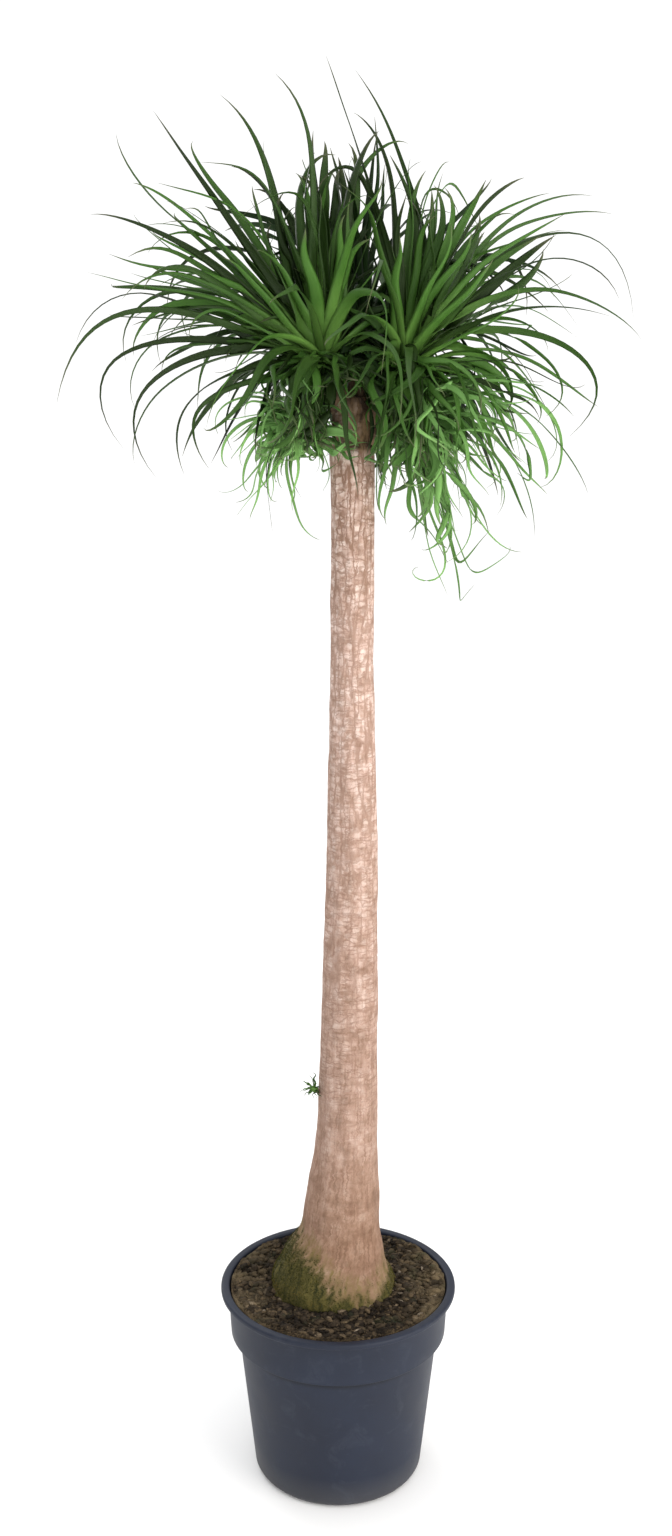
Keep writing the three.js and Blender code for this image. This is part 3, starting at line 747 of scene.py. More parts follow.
def with_neighbours(cells):
    """The cells and all that touch them."""
    steps = (-1, 0, 1)
    return {(i + a, j + b, k + c) for i, j, k in cells for a in steps for b in steps for c in steps}


def grow_heads():
    """All heads place their outline leaves, then take turns to add leaves from the rule."""
    leaves = {}
    near = {name: set() for name in HEADS}
    for name, head in HEADS.items():
        draw = make_draw(head["seed"])
        leaves[name] = [outline_leaf(head, row, draw) for row in OUTLINE_LEAVES.get(name, [])]
        for leaf in leaves[name]:
            near[name] |= with_neighbours(cells_of(leaf_points(leaf, SHARES)))
    capsules = {name: things_to_pass(name) for name in HEADS}
    for index in range(max(head["count"] for head in HEADS.values())):
        for name, head in HEADS.items():
            if index >= head["count"]:
                continue
            for tries in range(MOST_TRIES):
                draw = make_draw((head["seed"] * 1000 + index) * 100 + tries)
                leaf = grown_leaf(head, index, draw)
                points = leaf_points(leaf, SHARES)
                if name != "side_sprout" and not is_in_crown(points):
                    continue
                cells = cells_of(points)
                if any(cells & near[other] for other in HEADS if other != name):
                    continue
                if not passes_wood(points, leaf_widths(leaf, SHARES, 1.8) / 2, head, capsules[name]):
                    continue
                near[name] |= with_neighbours(cells)
                leaves[name].append(leaf)
                break
    return leaves


crown = grow_heads()
for name, leaves in crown.items():
    print(name, "has", len(leaves), "leaves")

# %% Turn the outline leaves and clear the bare stem
BARE_STEM_TOP = 1470.0
BARE_STEM_SIDE = 20.0
TIP_LIFT = np.array((12.0, 0.0, 48.0))

for name, rows in OUTLINE_LEAVES.items():
    for leaf in crown[name][:len(rows)]:
        leaf.update(taper=1.9, hooked=0.7, tone=-0.4 if name == "head_left" else -0.15,
                    twist=2.8 * leaf["twist"], flip=math.copysign(1.6, leaf["twist"]),
                    flip_place=0.2)
for leaf in crown["side_sprout"]:
    leaf["tone"] = -0.2
for leaf in crown["shoot_low_left"]:
    leaf["tone"] = 0.3
# Where a leaf ends before the bare stem, its tip is lifted, so that only the end of it shows.
lifted = 0
for leaf in crown["head_left"]:
    tip = leaf["knots"][3]
    if tip[2] < BARE_STEM_TOP and abs(tip[0] - stem_at(BARE_STEM_TOP)[0]) < BARE_STEM_SIDE:
        leaf["knots"][2] = leaf["knots"][2] + TIP_LIFT / 3
        leaf["knots"][3] = tip + TIP_LIFT
        lifted += 1
print("tips lifted:", lifted)

# %% [markdown]
# ## Filling up the heads
# The plain model keeps only as many leaves as it needs for its shape. A real crown holds many
# more, of several kinds: broad young leaves that stand up in the heart of a head, grown ones
# that arch out to one side or all round, old or stunted ones that hang and curl below, and a
# few as thin as string. Each kind gets the same rule with its own ranges. A sector is the part
# of a turn that its leaves are kept to.

# %% Kinds of added leaves
LEFT = (-0.8, 0.8)
FRONT = (0.8, 2.3)
RIGHT = (2.4, 3.9)
LEAF_KINDS = {
    "head_left": [
        # These upright leaves stand behind the fans, and their low tone is a painted shade.
        dict(count=18, length=(230, 310), width=(14, 24), spread=(0.0, 0.3), droop=(0.0, 0.12),
             curl=12, bend=0.25, tone=-0.6, taper=2.6, reach=1.0, axis=(-0.07, 0.12, 1.0)),
        dict(count=26, length=(280, 400), width=(7, 13), spread=(0.1, 0.9), droop=(0.3, 1.1),
             curl=22, bend=0.7, tone=-0.3, reach=1.0),
        dict(count=40, length=(250, 400), width=(9, 16), spread=(0.36, 1.3), droop=(0.15, 0.8),
             curl=28, bend=0.6, sector=LEFT, reach=1.0, taper=1.8),
        dict(count=56, length=(80, 220), width=(9, 18), spread=(0.5, 1.7), droop=(0.1, 0.9),
             curl=20, bend=0.7, tone=-0.3),
        dict(count=60, length=(50, 160), width=(7, 14), spread=(1.2, 2.6), droop=(0.4, 1.5),
             curl=26, bend=1.1, taper=2.6, tone=-0.2),
        dict(count=26, length=(90, 190), width=(11, 18), spread=(1.0, 1.9), droop=(0.6, 1.6),
             curl=42, bend=1.2, sector=FRONT, tone=-0.1, taper=3.0),
        dict(count=26, length=(240, 380), width=(3, 5), spread=(0.3, 1.7), droop=(0.1, 0.9),
             curl=44, bend=0.7, tone=-0.6, reach=1.0),
    ],
    "head_right": [
        dict(count=18, length=(200, 300), width=(13, 22), spread=(0.0, 0.5), droop=(0.0, 0.15),
             curl=12, bend=0.25, tone=-0.2, taper=2.6),
        dict(count=20, length=(280, 400), width=(7, 12), spread=(0.1, 0.9), droop=(0.3, 1.2),
             curl=26, bend=0.8, tone=0.4, reach=1.0, taper=1.8),
        dict(count=22, length=(160, 290), width=(9, 16), spread=(0.5, 1.6), droop=(0.5, 1.5),
             curl=28, bend=0.6, sector=RIGHT, tone=0.8, reach=1.0),
        dict(count=56, length=(80, 220), width=(9, 18), spread=(0.5, 1.8), droop=(0.1, 0.9),
             curl=20, bend=0.7, tone=-0.3),
        dict(count=70, length=(50, 170), width=(7, 14), spread=(1.2, 2.6), droop=(0.4, 1.5),
             curl=26, bend=1.1, taper=2.6, tone=-0.2),
        dict(count=26, length=(90, 190), width=(11, 18), spread=(1.0, 1.9), droop=(0.6, 1.6),
             curl=42, bend=1.2, sector=FRONT, tone=0.1, taper=3.0),
        dict(count=26, length=(240, 380), width=(3, 5), spread=(0.3, 1.7), droop=(0.1, 0.9),
             curl=44, bend=0.7, tone=-0.6, reach=1.0),
    ],
    "head_back": [
        dict(count=32, length=(240, 350), width=(9, 17), spread=(0.1, 0.9), droop=(0.2, 0.8),
             curl=18, bend=0.6, reach=1.0),
        dict(count=60, length=(120, 280), width=(8, 15), spread=(0.5, 1.9), droop=(0.1, 0.9),
             curl=20, bend=0.6),
        dict(count=30, length=(80, 200), width=(6, 12), spread=(1.2, 2.3), droop=(0.4, 1.3),
             curl=24, bend=0.9),
    ],
    "shoot_low_left": [
        dict(count=140, length=(28, 80), width=(11, 18), spread=(0.1, 2.7), droop=(0.1, 1.2),
             curl=28, bend=1.7, taper=3.6, tone=0.6),
        dict(count=20, length=(50, 110), width=(3, 6), spread=(0.4, 2.0), droop=(0.4, 1.4),
             curl=34, bend=1.2, tone=0.3),
    ],
    "shoot_low_right": [
        dict(count=30, length=(110, 220), width=(10, 16), spread=(0.5, 1.9), droop=(0.8, 2.2),
             curl=36, bend=0.9, taper=3.0),
        dict(count=90, length=(40, 130), width=(8, 14), spread=(0.1, 2.7), droop=(0.2, 1.4),
             curl=32, bend=1.5, taper=3.0),
        dict(count=12, length=(150, 240), width=(2.5, 4), spread=(0.5, 1.9), droop=(0.8, 2.0),
             curl=60, bend=1.2, reach=1.0),
    ],
    "side_sprout": [
        dict(count=8, length=(10, 22), width=(2.4, 4), spread=(0.2, 1.8), droop=(0.1, 0.8), curl=1),
    ],
}

print("kinds of added leaves:", sum(len(kinds) for kinds in LEAF_KINDS.values()))

# %% [markdown]
# ## Leaves that catch the eye
# The broad bright leaves in the two fans that face the viewer, the shaded ones behind them and
# the curly straps that hang low on both sides can't be left to chance, because they are what
# the eye finds first. They are given in the same way as the outline leaves.

# %% Leaves of the fans and the hanging shoots
FAN_LEAVES = {
    "head_left": [
        (27, -85, (-40, 1645), (-68, 1700), (-86, 1752)),
        (25, -100, (-24, 1650), (-36, 1706), (-42, 1755)),
        (23, -75, (-4, 1645), (0, 1712), (6, 1778)),
        (22, -80, (-66, 1640), (-105, 1690), (-140, 1722)),
        (20, -110, (-74, 1622), (-132, 1655), (-190, 1668)),
        (24, 10, (-40, 1690), (-50, 1786), (-42, 1870)),
        (22, 30, (-20, 1690), (-22, 1780), (-8, 1856)),
        (20, 0, (-30, 1685), (-36, 1770), (-34, 1832)),
        (18, 20, (0, 1690), (20, 1780), (34, 1850)),
        (13, 40, (-10, 1720), (30, 1830), (92, 1858)),
        (14, -95, (-30, 1604), (-40, 1578), (-26, 1528)),
        (20, 10, (-50, 1665), (-80, 1715), (-104, 1762)),
        (18, -10, (-58, 1660), (-98, 1702), (-132, 1742)),
        (17, 25, (-46, 1672), (-68, 1735), (-84, 1790)),
        (14, -52, (-6, 1592), (6, 1576), (20, 1554)),
        (13, -44, (0, 1598), (16, 1586), (36, 1562)),
        (16, -30, (-100, 1690), (-186, 1772), (-252, 1812)),
        (15, 20, (-78, 1700), (-146, 1798), (-214, 1842)),
    ],
    "head_right": [
        (26, -90, (96, 1640), (122, 1702), (146, 1758)),
        (26, -95, (112, 1628), (152, 1672), (196, 1712)),
        (22, -80, (72, 1640), (70, 1700), (76, 1745)),
        (22, -70, (104, 1650), (140, 1706), (172, 1746)),
        (20, -110, (124, 1610), (180, 1640), (236, 1662)),
        (18, -100, (90, 1594), (106, 1552), (96, 1468)),
        (10, -60, (64, 1560), (50, 1530), (44, 1496)),
        (8, -50, (58, 1556), (40, 1538), (30, 1512)),
        (14, -54, (56, 1590), (38, 1576), (20, 1558)),
        (13, -46, (62, 1584), (54, 1564), (40, 1546)),
        (13, 20, (60, 1720), (28, 1820), (-40, 1842)),
        (12, 40, (70, 1730), (60, 1840), (-6, 1880)),
        (13, 10, (96, 1700), (90, 1790), (40, 1836)),
    ],
    "shoot_low_left": [
        (16, -46, (-22, 1510), (2, 1506), (28, 1490)),
        (14, -50, (-24, 1496), (-4, 1488), (16, 1482)),
        (9, -32, (-16, 1512), (6, 1510), (28, 1503)),
        (7, -50, (-30, 1487), (-20, 1469), (-4, 1450)),
        (8, -40, (-12, 1500), (12, 1493), (38, 1490)),
        (7, -55, (-14, 1508), (4, 1490), (12, 1476)),
        (8, -44, (-16, 1520), (0, 1522), (16, 1508)),
        (9, -50, (-24, 1498), (-12, 1488), (2, 1474)),
        (7, -38, (-14, 1496), (10, 1484), (30, 1470)),
    ],
    "shoot_low_right": [
        (12, -50, (130, 1450), (136, 1400), (146, 1350)),
        (11, -70, (142, 1465), (158, 1415), (150, 1362)),
        (12, -35, (112, 1460), (130, 1405), (132, 1362)),
        (8, -60, (200, 1545), (258, 1490), (262, 1438)),
        (7, -30, (205, 1520), (246, 1470), (236, 1430)),
        (7, -80, (205, 1560), (268, 1520), (280, 1452)),
        (11, -40, (124, 1452), (140, 1398), (128, 1340)),
        (10, -70, (120, 1478), (150, 1440), (160, 1388)),
        (10, -30, (142, 1470), (168, 1425), (170, 1376)),
        (9, -50, (150, 1492), (196, 1452), (214, 1412)),
        (8, -20, (160, 1500), (212, 1462), (240, 1396)),
        (7, -60, (92, 1440), (102, 1390), (146, 1352)),
        (6, -30, (130, 1420), (150, 1362), (200, 1352)),
        (3.5, -50, (136, 1400), (150, 1328), (196, 1322)),
        (3.5, -30, (122, 1390), (132, 1335), (104, 1316)),
        (3, -60, (150, 1380), (182, 1330), (236, 1340)),
    ],
}
print("given leaves:", sum(len(rows) for rows in FAN_LEAVES.values()))

# %% [markdown]
# ## Where an added leaf may go
# Added leaves stay inside the crown's egg shape and off the wood. They also leave free what
# the photo shows: the two fans, the brown stub, the bare top of the stem and the air beside
# it. They may pass through other leaves. In so dense a crown this hardly shows, and with the
# plain model's stricter rule there would be room for far fewer.

# %% Places that stay free
EXTRA_TRIES = 12
FLIP_SHARE = 0.85
# Each kind draws from a run of seeds of its own, this many long.
KIND_SEEDS = 200
# From, to, lowest and highest of each free place, and whether only its front half is free.
FREE_PLACES = [
    (-10, 38, 1493, 1548, True),
    (-8, 46, 0, 1472, True),
    (-70, -8, 0, 1472, False),
    (46, 106, 0, 1425, False),
]


def blocks_the_view(points):
    """True if a leaf would hang before the two fans, in a free place or below the crown."""
    x, y, z = points.T
    # The fans fill the front of the crown, and nothing hangs before them.
    blocked = (z > 1605) & (y < -22 - 0.3 * (z - 1560)) & (x > -125) & (x < 230)
    for start, end, low, high, only_front in FREE_PLACES:
        inside = (x > start) & (x < end) & (z > low) & (z < high)
        blocked |= inside & (y < 0) if only_front else inside
    # The crown's lower edge rises outwards, and lies lower on the right.
    side = np.abs(x - 10)
    lowest = np.where(x < 0, 1580, 1505) - 0.5 * (260 - side)
    return bool(np.any(blocked | (side > 120) & (z < lowest)))


print("places that stay free:", len(FREE_PLACES))

# %% Add the leaves
def extra_leaves(name, head, kind, first, wanted):
    """Leaves of one kind, as far as they find room off the wood."""
    capsules = things_to_pass(name)
    found = []
    for index in range(wanted):
        for tries in range(EXTRA_TRIES):
            draw = make_draw((head["seed"] * 1000 + first + index) * 100 + tries)
            leaf = grown_leaf(dict(head, **dict(kind, count=wanted)), index, draw)
            leaf.update(tone=kind.get("tone", 0.0), taper=kind.get("taper", 2.2))
            if draw(0, 1) < FLIP_SHARE:
                leaf["flip"] = draw(1.0, 2.8) * (1 if draw(0, 1) < 0.5 else -1)
                leaf["flip_place"] = draw(0.12, 0.6)
            points = leaf_points(leaf, SHARES)
            inside = is_in_crown(points, kind.get("reach", 0.9))
            if name != "side_sprout" and (not inside or blocks_the_view(points)):
                continue
            if passes_wood(points, leaf_widths(leaf, SHARES) / 2, head, capsules):
                found.append(leaf)
                break
    return found


def fan_leaf(name, head, row, draw):
    """A given leaf, with a low tone in the shade as a painted shade. One in the shade or one that
    hangs broad turns its flat side to the viewer.
    """
    width, lean, tip = row[0], row[1], row[4]
    is_shoot = name.startswith("shoot")
    in_shade = lean > -20 and not is_shoot
    # Leaves in the shade get a low tone, a painted shade. The others get a young age and a higher
    # tone, partly a painted light on the bright fans.
    leaf = dict(outline_leaf(head, row, draw), age=-0.4, tone=-0.8 if in_shade else 0.2)
    if is_shoot:
        reach = np.linalg.norm(leaf["knots"][3] - leaf["knots"][0])
        leaf.update(curl=draw(0.08, 0.2) * reach, phase=draw(0, 6), age=0.2, taper=2.8,
                    flip=draw(-3, 3), tone=0.3 if width > 12 else -0.2)
    if in_shade or width > 12 and tip[1] < 1580:
        leaf.update(flip=1.4, flip_place=0.0, twist=0.4 * leaf["twist"])
    return leaf


for name, head in HEADS.items():
    fan_draw = make_draw(head["seed"] + 1)
    crown[name] += [fan_leaf(name, head, row, fan_draw) for row in FAN_LEAVES.get(name, [])]
    for k, kind in enumerate(LEAF_KINDS[name]):
        wanted = kind["count"] // 1
        crown[name] += extra_leaves(name, head, kind, KIND_SEEDS * (k + 1), wanted)
    print(name, "now has", len(crown[name]), "leaves")

# %% [markdown]
# ## The leaf's material: a waxy living blade
# A ponytail palm's leaf is a tough strap with a thin wax layer. Parallel veins run its whole
# length, which breaks a highlight into fine lines. The blade is paler where it sheathes the
# head, deep green along its length, and dry and a dull olive at the very tip. The pale sheath
# is strongest on bright leaves, and is partly a painted light on the lit bases of the fans. The
# wax gives it a soft satin gloss, so the upper side of a bent leaf shows a pale band where it
# faces the sky. Each leaf has a tone of its own, kept as a value at its points. Leaves that
# stand in shade get a low tone, a painted shade. The back head has a darker copy of the
# material, which is also a painted shade.

# %% Colours along a leaf
def body_and_veins(tree, tone, ridges, deep, fresh, base):
    """Each leaf's own green, with paler veins."""
    body = add_node(tree, "ShaderNodeMix", data_type="RGBA", links={0: tone},
                    inputs={6: linear(deep), 7: linear(fresh)})
    streak = add_node(tree, "ShaderNodeMapRange", links={"Value": ridges},
                      inputs={"From Min": -1.0, "From Max": 1.0, "To Min": 0.0, "To Max": 0.12})
    return add_node(tree, "ShaderNodeMix", data_type="RGBA",
                    links={0: streak.outputs["Result"], 6: body.outputs[2]},
                    inputs={7: linear(base)}).outputs[2]


def root_and_tip(tree, tone, along, base, colour):
    """Adds a pale sheath at the root and a dry tip. The sheath is palest on fresh, brightly lit
    leaves, which is partly a painted light.
    """
    sheath = add_node(tree, "ShaderNodeMapRange", links={"Value": along},
                      inputs={"From Min": 0.45, "From Max": 0.05, "To Min": 0.0, "To Max": 0.9})
    # The sheath grows with the tone, so its paleness is partly a painted light.
    fresh_and_lit_sheath = add_node(tree, "ShaderNodeMath", operation="MULTIPLY",
                            links={0: sheath.outputs["Result"], 1: tone})
    rooted = add_node(tree, "ShaderNodeMix", data_type="RGBA",
                      links={0: fresh_and_lit_sheath.outputs[0], 6: colour}, inputs={7: linear(base)})
    dry = add_node(tree, "ShaderNodeMapRange", links={"Value": along},
                   inputs={"From Min": 0.86, "From Max": 0.98, "To Min": 0.0, "To Max": 0.8})
    return add_node(tree, "ShaderNodeMix", data_type="RGBA",
                    links={0: dry.outputs["Result"], 6: rooted.outputs[2]},
                    inputs={7: linear("#5d5e45")}).outputs[2]


# Veins lie about 1 mm apart on a 16 mm blade.
VEINS = 16
print("veins on a blade:", VEINS)

# %% Waxy leaf blade
def waxy_leaf_blade(name, deep, fresh, base):
    material, tree, shader = new_material(name, roughness=0.4, ior=1.4, specular=0.26)
    place = add_node(tree, "ShaderNodeUVMap", uv_map="blade")
    parts = add_node(tree, "ShaderNodeSeparateXYZ", links={"Vector": place.outputs["UV"]})
    tone = add_node(tree, "ShaderNodeAttribute", attribute_name="tone").outputs["Fac"]
    turns = add_node(tree, "ShaderNodeMath", operation="MULTIPLY",
                     links={0: parts.outputs["X"]}, inputs={1: VEINS * 2 * math.pi})
    ridges = add_node(tree, "ShaderNodeMath", operation="SINE",
                      links={0: turns.outputs[0]}).outputs[0]
    green = body_and_veins(tree, tone, ridges, deep, fresh, base)
    colour = root_and_tip(tree, tone, parts.outputs["Y"], base, green)
    tree.links.new(colour, shader.inputs["Base Color"])
    bump = add_node(tree, "ShaderNodeBump", links={"Height": ridges},
                    inputs={"Strength": 0.25, "Distance": 0.0004})
    tree.links.new(bump.outputs["Normal"], shader.inputs["Normal"])
    return material


leaf_looks = {
    "leaf": waxy_leaf_blade("waxy leaf blade", "#0a1604", "#3d6524", "#84b357"),
    # The back head's darker copy of the blade is a painted shade.
    "leaf_shaded": waxy_leaf_blade("shaded leaf blade", "#060d04", "#1f3914", "#426b2c"),
    "leaf_shoot": waxy_leaf_blade("young shoot blade", "#3c6225", "#78a85c", "#8ab06d"),
}
print("made", ", ".join(material.name for material in leaf_looks.values()))

# %% [markdown]
# ## The blades
# A blade is a shallow gutter: the middle lies lower than the edges. Its section has five
# points above and three below, which meet at the edges, so the blade is thin but closed and
# shows the same from both sides. The section is carried along the leaf's middle line, kept
# level across, and turned by the leaf's own twist and by the one place where it turns over.

# %% The middle line and the turn of a blade
FLIP_LENGTH = 0.16
RIPPLE = 3.0
HOOK_START = 0.66


def blade_middle(leaf, t):
    """The middle line with a small ripple. Most tips bend up or down into a hook."""
    middle = leaf_points(leaf, t)
    middle += (RIPPLE * t * np.sin(14 * t + 5 * leaf["twist"]))[:, None] * leaf["side"]
    reach = np.linalg.norm(leaf["knots"][3] - leaf["knots"][0])
    last_way = unit(leaf["knots"][3] - leaf["knots"][2])
    hook = np.clip((t - HOOK_START) / (1 - HOOK_START), 0, 1)[:, None] ** 2
    middle += leaf["hook"] * reach * hook * np.cross(leaf["side"], last_way)
    middle -= 0.5 * abs(leaf["hook"]) * reach * hook * hook * last_way
    return middle


def across_and_above(leaf, middle, t):
    """Directions across the blade and up from its face, along its middle line."""
    along = np.gradient(middle, t, axis=0)
    along /= np.linalg.norm(along, axis=1)[:, None]
    across = leaf["side"] - along * (along @ leaf["side"])[:, None]
    across /= np.linalg.norm(across, axis=1)[:, None]
    flip = np.clip((t - leaf["flip_place"]) / FLIP_LENGTH, 0, 1)
    turn = (leaf["twist"] * t + leaf["flip"] * flip * flip * (3 - 2 * flip))[:, None]
    across = across * np.cos(turn) + np.cross(along, across) * np.sin(turn)
    return across, -np.cross(across, along)


print("a hook starts", f"{HOOK_START:.0%}", "of the way along a blade")

# %% Closed blades
BLADE_SECTION = [(-1, 0.42), (-0.52, 0.2), (0, 0.0), (0.52, 0.2), (1, 0.42)]
BLADE_THICKNESS = 0.7
BLADE_SEGMENTS = 26
SPROUT_SEGMENTS = 10
HOOK_SHARE = 0.18
TIP_HALF_WIDTH = 0.15


def blade_rings(leaf, segments):
    """The points, UV places and ring count of one closed blade."""
    t = np.linspace(0, 1, segments + 1) ** 0.95
    middle = blade_middle(leaf, t)
    across, above = across_and_above(leaf, middle, t)
    half = leaf_widths(leaf, t)[:, None] / 2
    half[-1] = TIP_HALF_WIDTH
    rows = []
    spots = []
    thick = np.minimum(BLADE_THICKNESS, 0.5 * half)
    for x, rise in BLADE_SECTION:
        rows.append(middle + across * half * x + above * half * rise * (1 - 0.6 * t[:, None]))
        spots.append(x / 2 + 0.5)
    for x, rise in reversed(BLADE_SECTION[1:-1]):
        rows.append(middle + across * half * x
                    + above * (half * rise * (1 - 0.6 * t[:, None]) - thick))
        spots.append(x / 2 + 0.5)
    points = np.stack(rows, axis=1).reshape(-1, 3)
    uvs = [(x, s) for s in t for x in spots]
    return points, uvs, len(t), len(rows)


def head_blades(leaves, segments, seed):
    """All blades of one head as one mesh, with UV places and each leaf's tone."""
    draw = make_draw(seed)
    points, faces, uvs, tones = [], [], [], []
    count = 0
    for leaf in leaves:
        leaf["hook"] = HOOK_SHARE * draw(-1, 1) * leaf.get("hooked", 1.0)
        blade, spots, rings, sides = blade_rings(leaf, segments)
        # A leaf's tone is partly its own and partly a painted shade, where the leaf stands in shade.
        tone = 0.85 - 0.6 * leaf["age"] + leaf.get("tone", 0.0) + draw(-0.45, 0.45)
        tone = min(1.0, max(0.0, tone))
        faces += stack_faces(rings, sides, first=count)
        faces.append(tuple(count + i for i in reversed(range(sides))))
        faces.append(tuple(count + (rings - 1) * sides + i for i in range(sides)))
        points.append(blade)
        uvs += spots
        tones += [tone] * len(blade)
        count += len(blade)
    return np.concatenate(points), faces, uvs, tones


print("points round a blade:", 2 * len(BLADE_SECTION) - 2)

# %% Draw the heads
def core_rings(head, sides=24, rings=14):
    """The head's core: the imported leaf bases, with a shallow rib for each."""
    axis = unit(head["axis"])
    u, v = across_axis(axis)
    outline = [(0.35, 0.62), (0.16 * CORE_LENGTH, 0.95), (0.5 * CORE_LENGTH, 1.0),
               (0.85 * CORE_LENGTH, 0.6), (CORE_LENGTH, 0.2)]
    heights = np.linspace(outline[0][0], outline[-1][0], rings)
    radii = np.interp(heights, [o[0] for o in outline], [o[1] for o in outline])
    points = []
    for height, share in zip(heights, radii):
        for i in range(sides):
            angle = 2 * math.pi * i / sides + height * 0.03
            out = CORE_RADIUS * share * head["size"] * (1 + 0.05 * math.cos(8 * angle))
            points.append(np.array(head["seat"]) + axis * height * head["size"]
                          + u * out * math.cos(angle) + v * out * math.sin(angle))
    faces = stack_faces(rings, sides)
    faces = [tuple(reversed(face)) for face in faces]
    faces.append(tuple(range(sides)))
    faces.append(tuple(reversed(range((rings - 1) * sides, rings * sides))))
    return np.array(points), faces


# The back head gets the darker blade, a painted shade.
HEAD_SLOTS = dict(head_left="leaf", head_right="leaf", head_back="leaf_shaded",
                  shoot_low_left="leaf_shoot", shoot_low_right="leaf_shoot",
                  side_sprout="leaf_shoot")
for name, leaves in crown.items():
    segments = SPROUT_SEGMENTS if name == "side_sprout" else BLADE_SEGMENTS
    points, faces, uvs, tones = head_blades(leaves, segments, HEADS[name]["seed"])
    core_points, core_faces = core_rings(HEADS[name])
    shift = len(points)
    faces += [tuple(i + shift for i in face) for face in core_faces]
    points = np.concatenate([points, core_points])
    uvs += [(0.5, 0.1)] * len(core_points)
    tones += [0.3] * len(core_points)
    slot = HEAD_SLOTS[name]
    look = leaf_looks["leaf" if name == "side_sprout" else slot]
    make_piece(f"{name}_leaves", points, faces, look, replaces=[name],
               values={"tone": tones}, uvs=uvs)

# %% [markdown]
# ## The bark's material: dry corky bark
# The bark is pinkish tan and dry. On the upper half it has split into small blocks as the stem
# grew thicker. Lower down it is older and smoother, with fine lines across and fibres along
# it. The short wood above the last ring is dark brown, and algae and moss colour the foot.
# Where each of these lies is kept as a value at the points. Each pattern becomes a mark: its
# value is turned into a strength, and then multiplied by where the mark belongs.

# %% Patterns that run with the bark
# The bark map runs round the stem and up it, in metres. This is how far it runs in one turn.
BARK_TURN = 0.19


def bark_noise(tree, place, across, along, detail, roughness):
    """A noise with given numbers of patches in a metre across the stem and along it."""
    stretched = add_node(tree, "ShaderNodeMapping", links={"Vector": place},
                         inputs={"Scale": (across, along, 1.0)})
    field = add_node(tree, "ShaderNodeTexNoise", links={"Vector": stretched.outputs["Vector"]},
                     noise_dimensions="2D",
                     inputs={"Scale": 1.0, "Detail": detail, "Roughness": roughness})
    return field.outputs["Fac"]


def winding_lines(tree, place, across, along):
    """How far a smooth noise is from its middle value, which it crosses along winding lines."""
    field = bark_noise(tree, place, across, along, detail=1.0, roughness=0.4)
    off = add_node(tree, "ShaderNodeMath", operation="SUBTRACT", links={0: field}, inputs={1: 0.5})
    return add_node(tree, "ShaderNodeMath", operation="ABSOLUTE",
                    links={0: off.outputs[0]}).outputs[0]


def mark(tree, value, start, end, low, high, where):
    """A strength from low to high as a pattern goes from start to end, times where it belongs."""
    strength = add_node(tree, "ShaderNodeMapRange", links={"Value": value},
                        inputs={"From Min": start, "From Max": end, "To Min": low, "To Max": high})
    return add_node(tree, "ShaderNodeMath", operation="MULTIPLY",
                    links={0: strength.outputs["Result"], 1: where}).outputs[0]


print(f"the bark map runs {BARK_TURN / MM:.0f} mm in one turn")

# %% [markdown]
# ## Skin and grain
# Under all marks lies a skin in four tans, blotched by a broad noise. The grain over it is
# about 2 mm across and drawn out along the stem. The grain and the marks use a map that is
# bent by up to 3 mm, so that nothing on the bark runs straight.

# %% Skin, grain and the bent map
def bent_map(tree, place):
    """The bark map with a small wobble."""
    wobble = add_node(tree, "ShaderNodeTexNoise", links={"Vector": place}, noise_dimensions="2D",
                      inputs={"Scale": 150.0, "Detail": 3.0, "Roughness": 0.6})
    centred = add_node(tree, "ShaderNodeVectorMath", operation="SUBTRACT",
                       links={0: wobble.outputs["Color"]}, inputs={1: (0.5, 0.5, 0.5)})
    shift = add_node(tree, "ShaderNodeVectorMath", operation="SCALE",
                     links={0: centred.outputs[0]}, inputs={"Scale": 0.006})
    return add_node(tree, "ShaderNodeVectorMath", operation="ADD",
                    links={0: place, 1: shift.outputs[0]}).outputs[0]


def grained_skin(tree, blotch, grain):
    """The colour of the bark before any mark."""
    skin = add_node(tree, "ShaderNodeValToRGB", links={"Fac": blotch},
                    stops=[(0.3, "#a4897a"), (0.46, "#b6998a"), (0.58, "#c4a89b"), (0.75, "#d5c0b6")])
    grain_tint = add_node(tree, "ShaderNodeValToRGB", links={"Fac": grain},
                          stops=[(0.32, "#b79f92"), (0.56, "#ffffff")])
    return add_node(tree, "ShaderNodeMix", data_type="RGBA", blend_type="MULTIPLY",
                    links={6: skin.outputs["Color"], 7: grain_tint.outputs["Color"]},
                    inputs={0: 0.5}).outputs[2]


print("the skin's palest tan in linear light:", [round(c, 3) for c in linear("#d5c0b6")[:3]])

# %% [markdown]
# ## Furrows, creases and blocks
# Furrows follow the lines where a smooth noise crosses its middle value. Upright ones lie
# about 11 mm apart. Level ones are weaker and break off every few centimetres. Half-way up the
# stem the skin is crossed by finer level creases, and an old growth stop has left scar lines.
# The blocks between the furrows are about 10 mm wide and 11 mm tall, palest in the middle, which is
# partly a painted highlight on each raised block.

# %% Dark lines and pale blocks
def dark_lines(tree, place, bent, upright, grain):
    """How strongly a dark line shows: the strongest of the furrows, creases and scar lines."""
    cracked, creased, scar = (
        add_node(tree, "ShaderNodeAttribute", attribute_name=name).outputs["Fac"]
        for name in ("cracked", "creased", "scar"))
    patches = bark_noise(tree, place, 60.0, 50.0, detail=2.0, roughness=0.5)
    in_patches = mark(tree, patches, 0.42, 0.58, 0.5, 0.95, cracked)
    lines = [
        mark(tree, upright, 0.055, 0.012, 0.0, 1.0, cracked),
        mark(tree, winding_lines(tree, bent, 26.0, 88.0), 0.06, 0.01, 0.0, 1.0, in_patches),
        mark(tree, winding_lines(tree, bent, 34.0, 150.0), 0.05, 0.01, 0.0, 0.6, creased),
        mark(tree, grain, 0.3, 0.6, 0.9, 0.5, scar),
    ]
    strongest = lines[0]
    for line in lines[1:]:
        strongest = add_node(tree, "ShaderNodeMath", operation="MAXIMUM",
                             links={0: strongest, 1: line}).outputs[0]
    return strongest


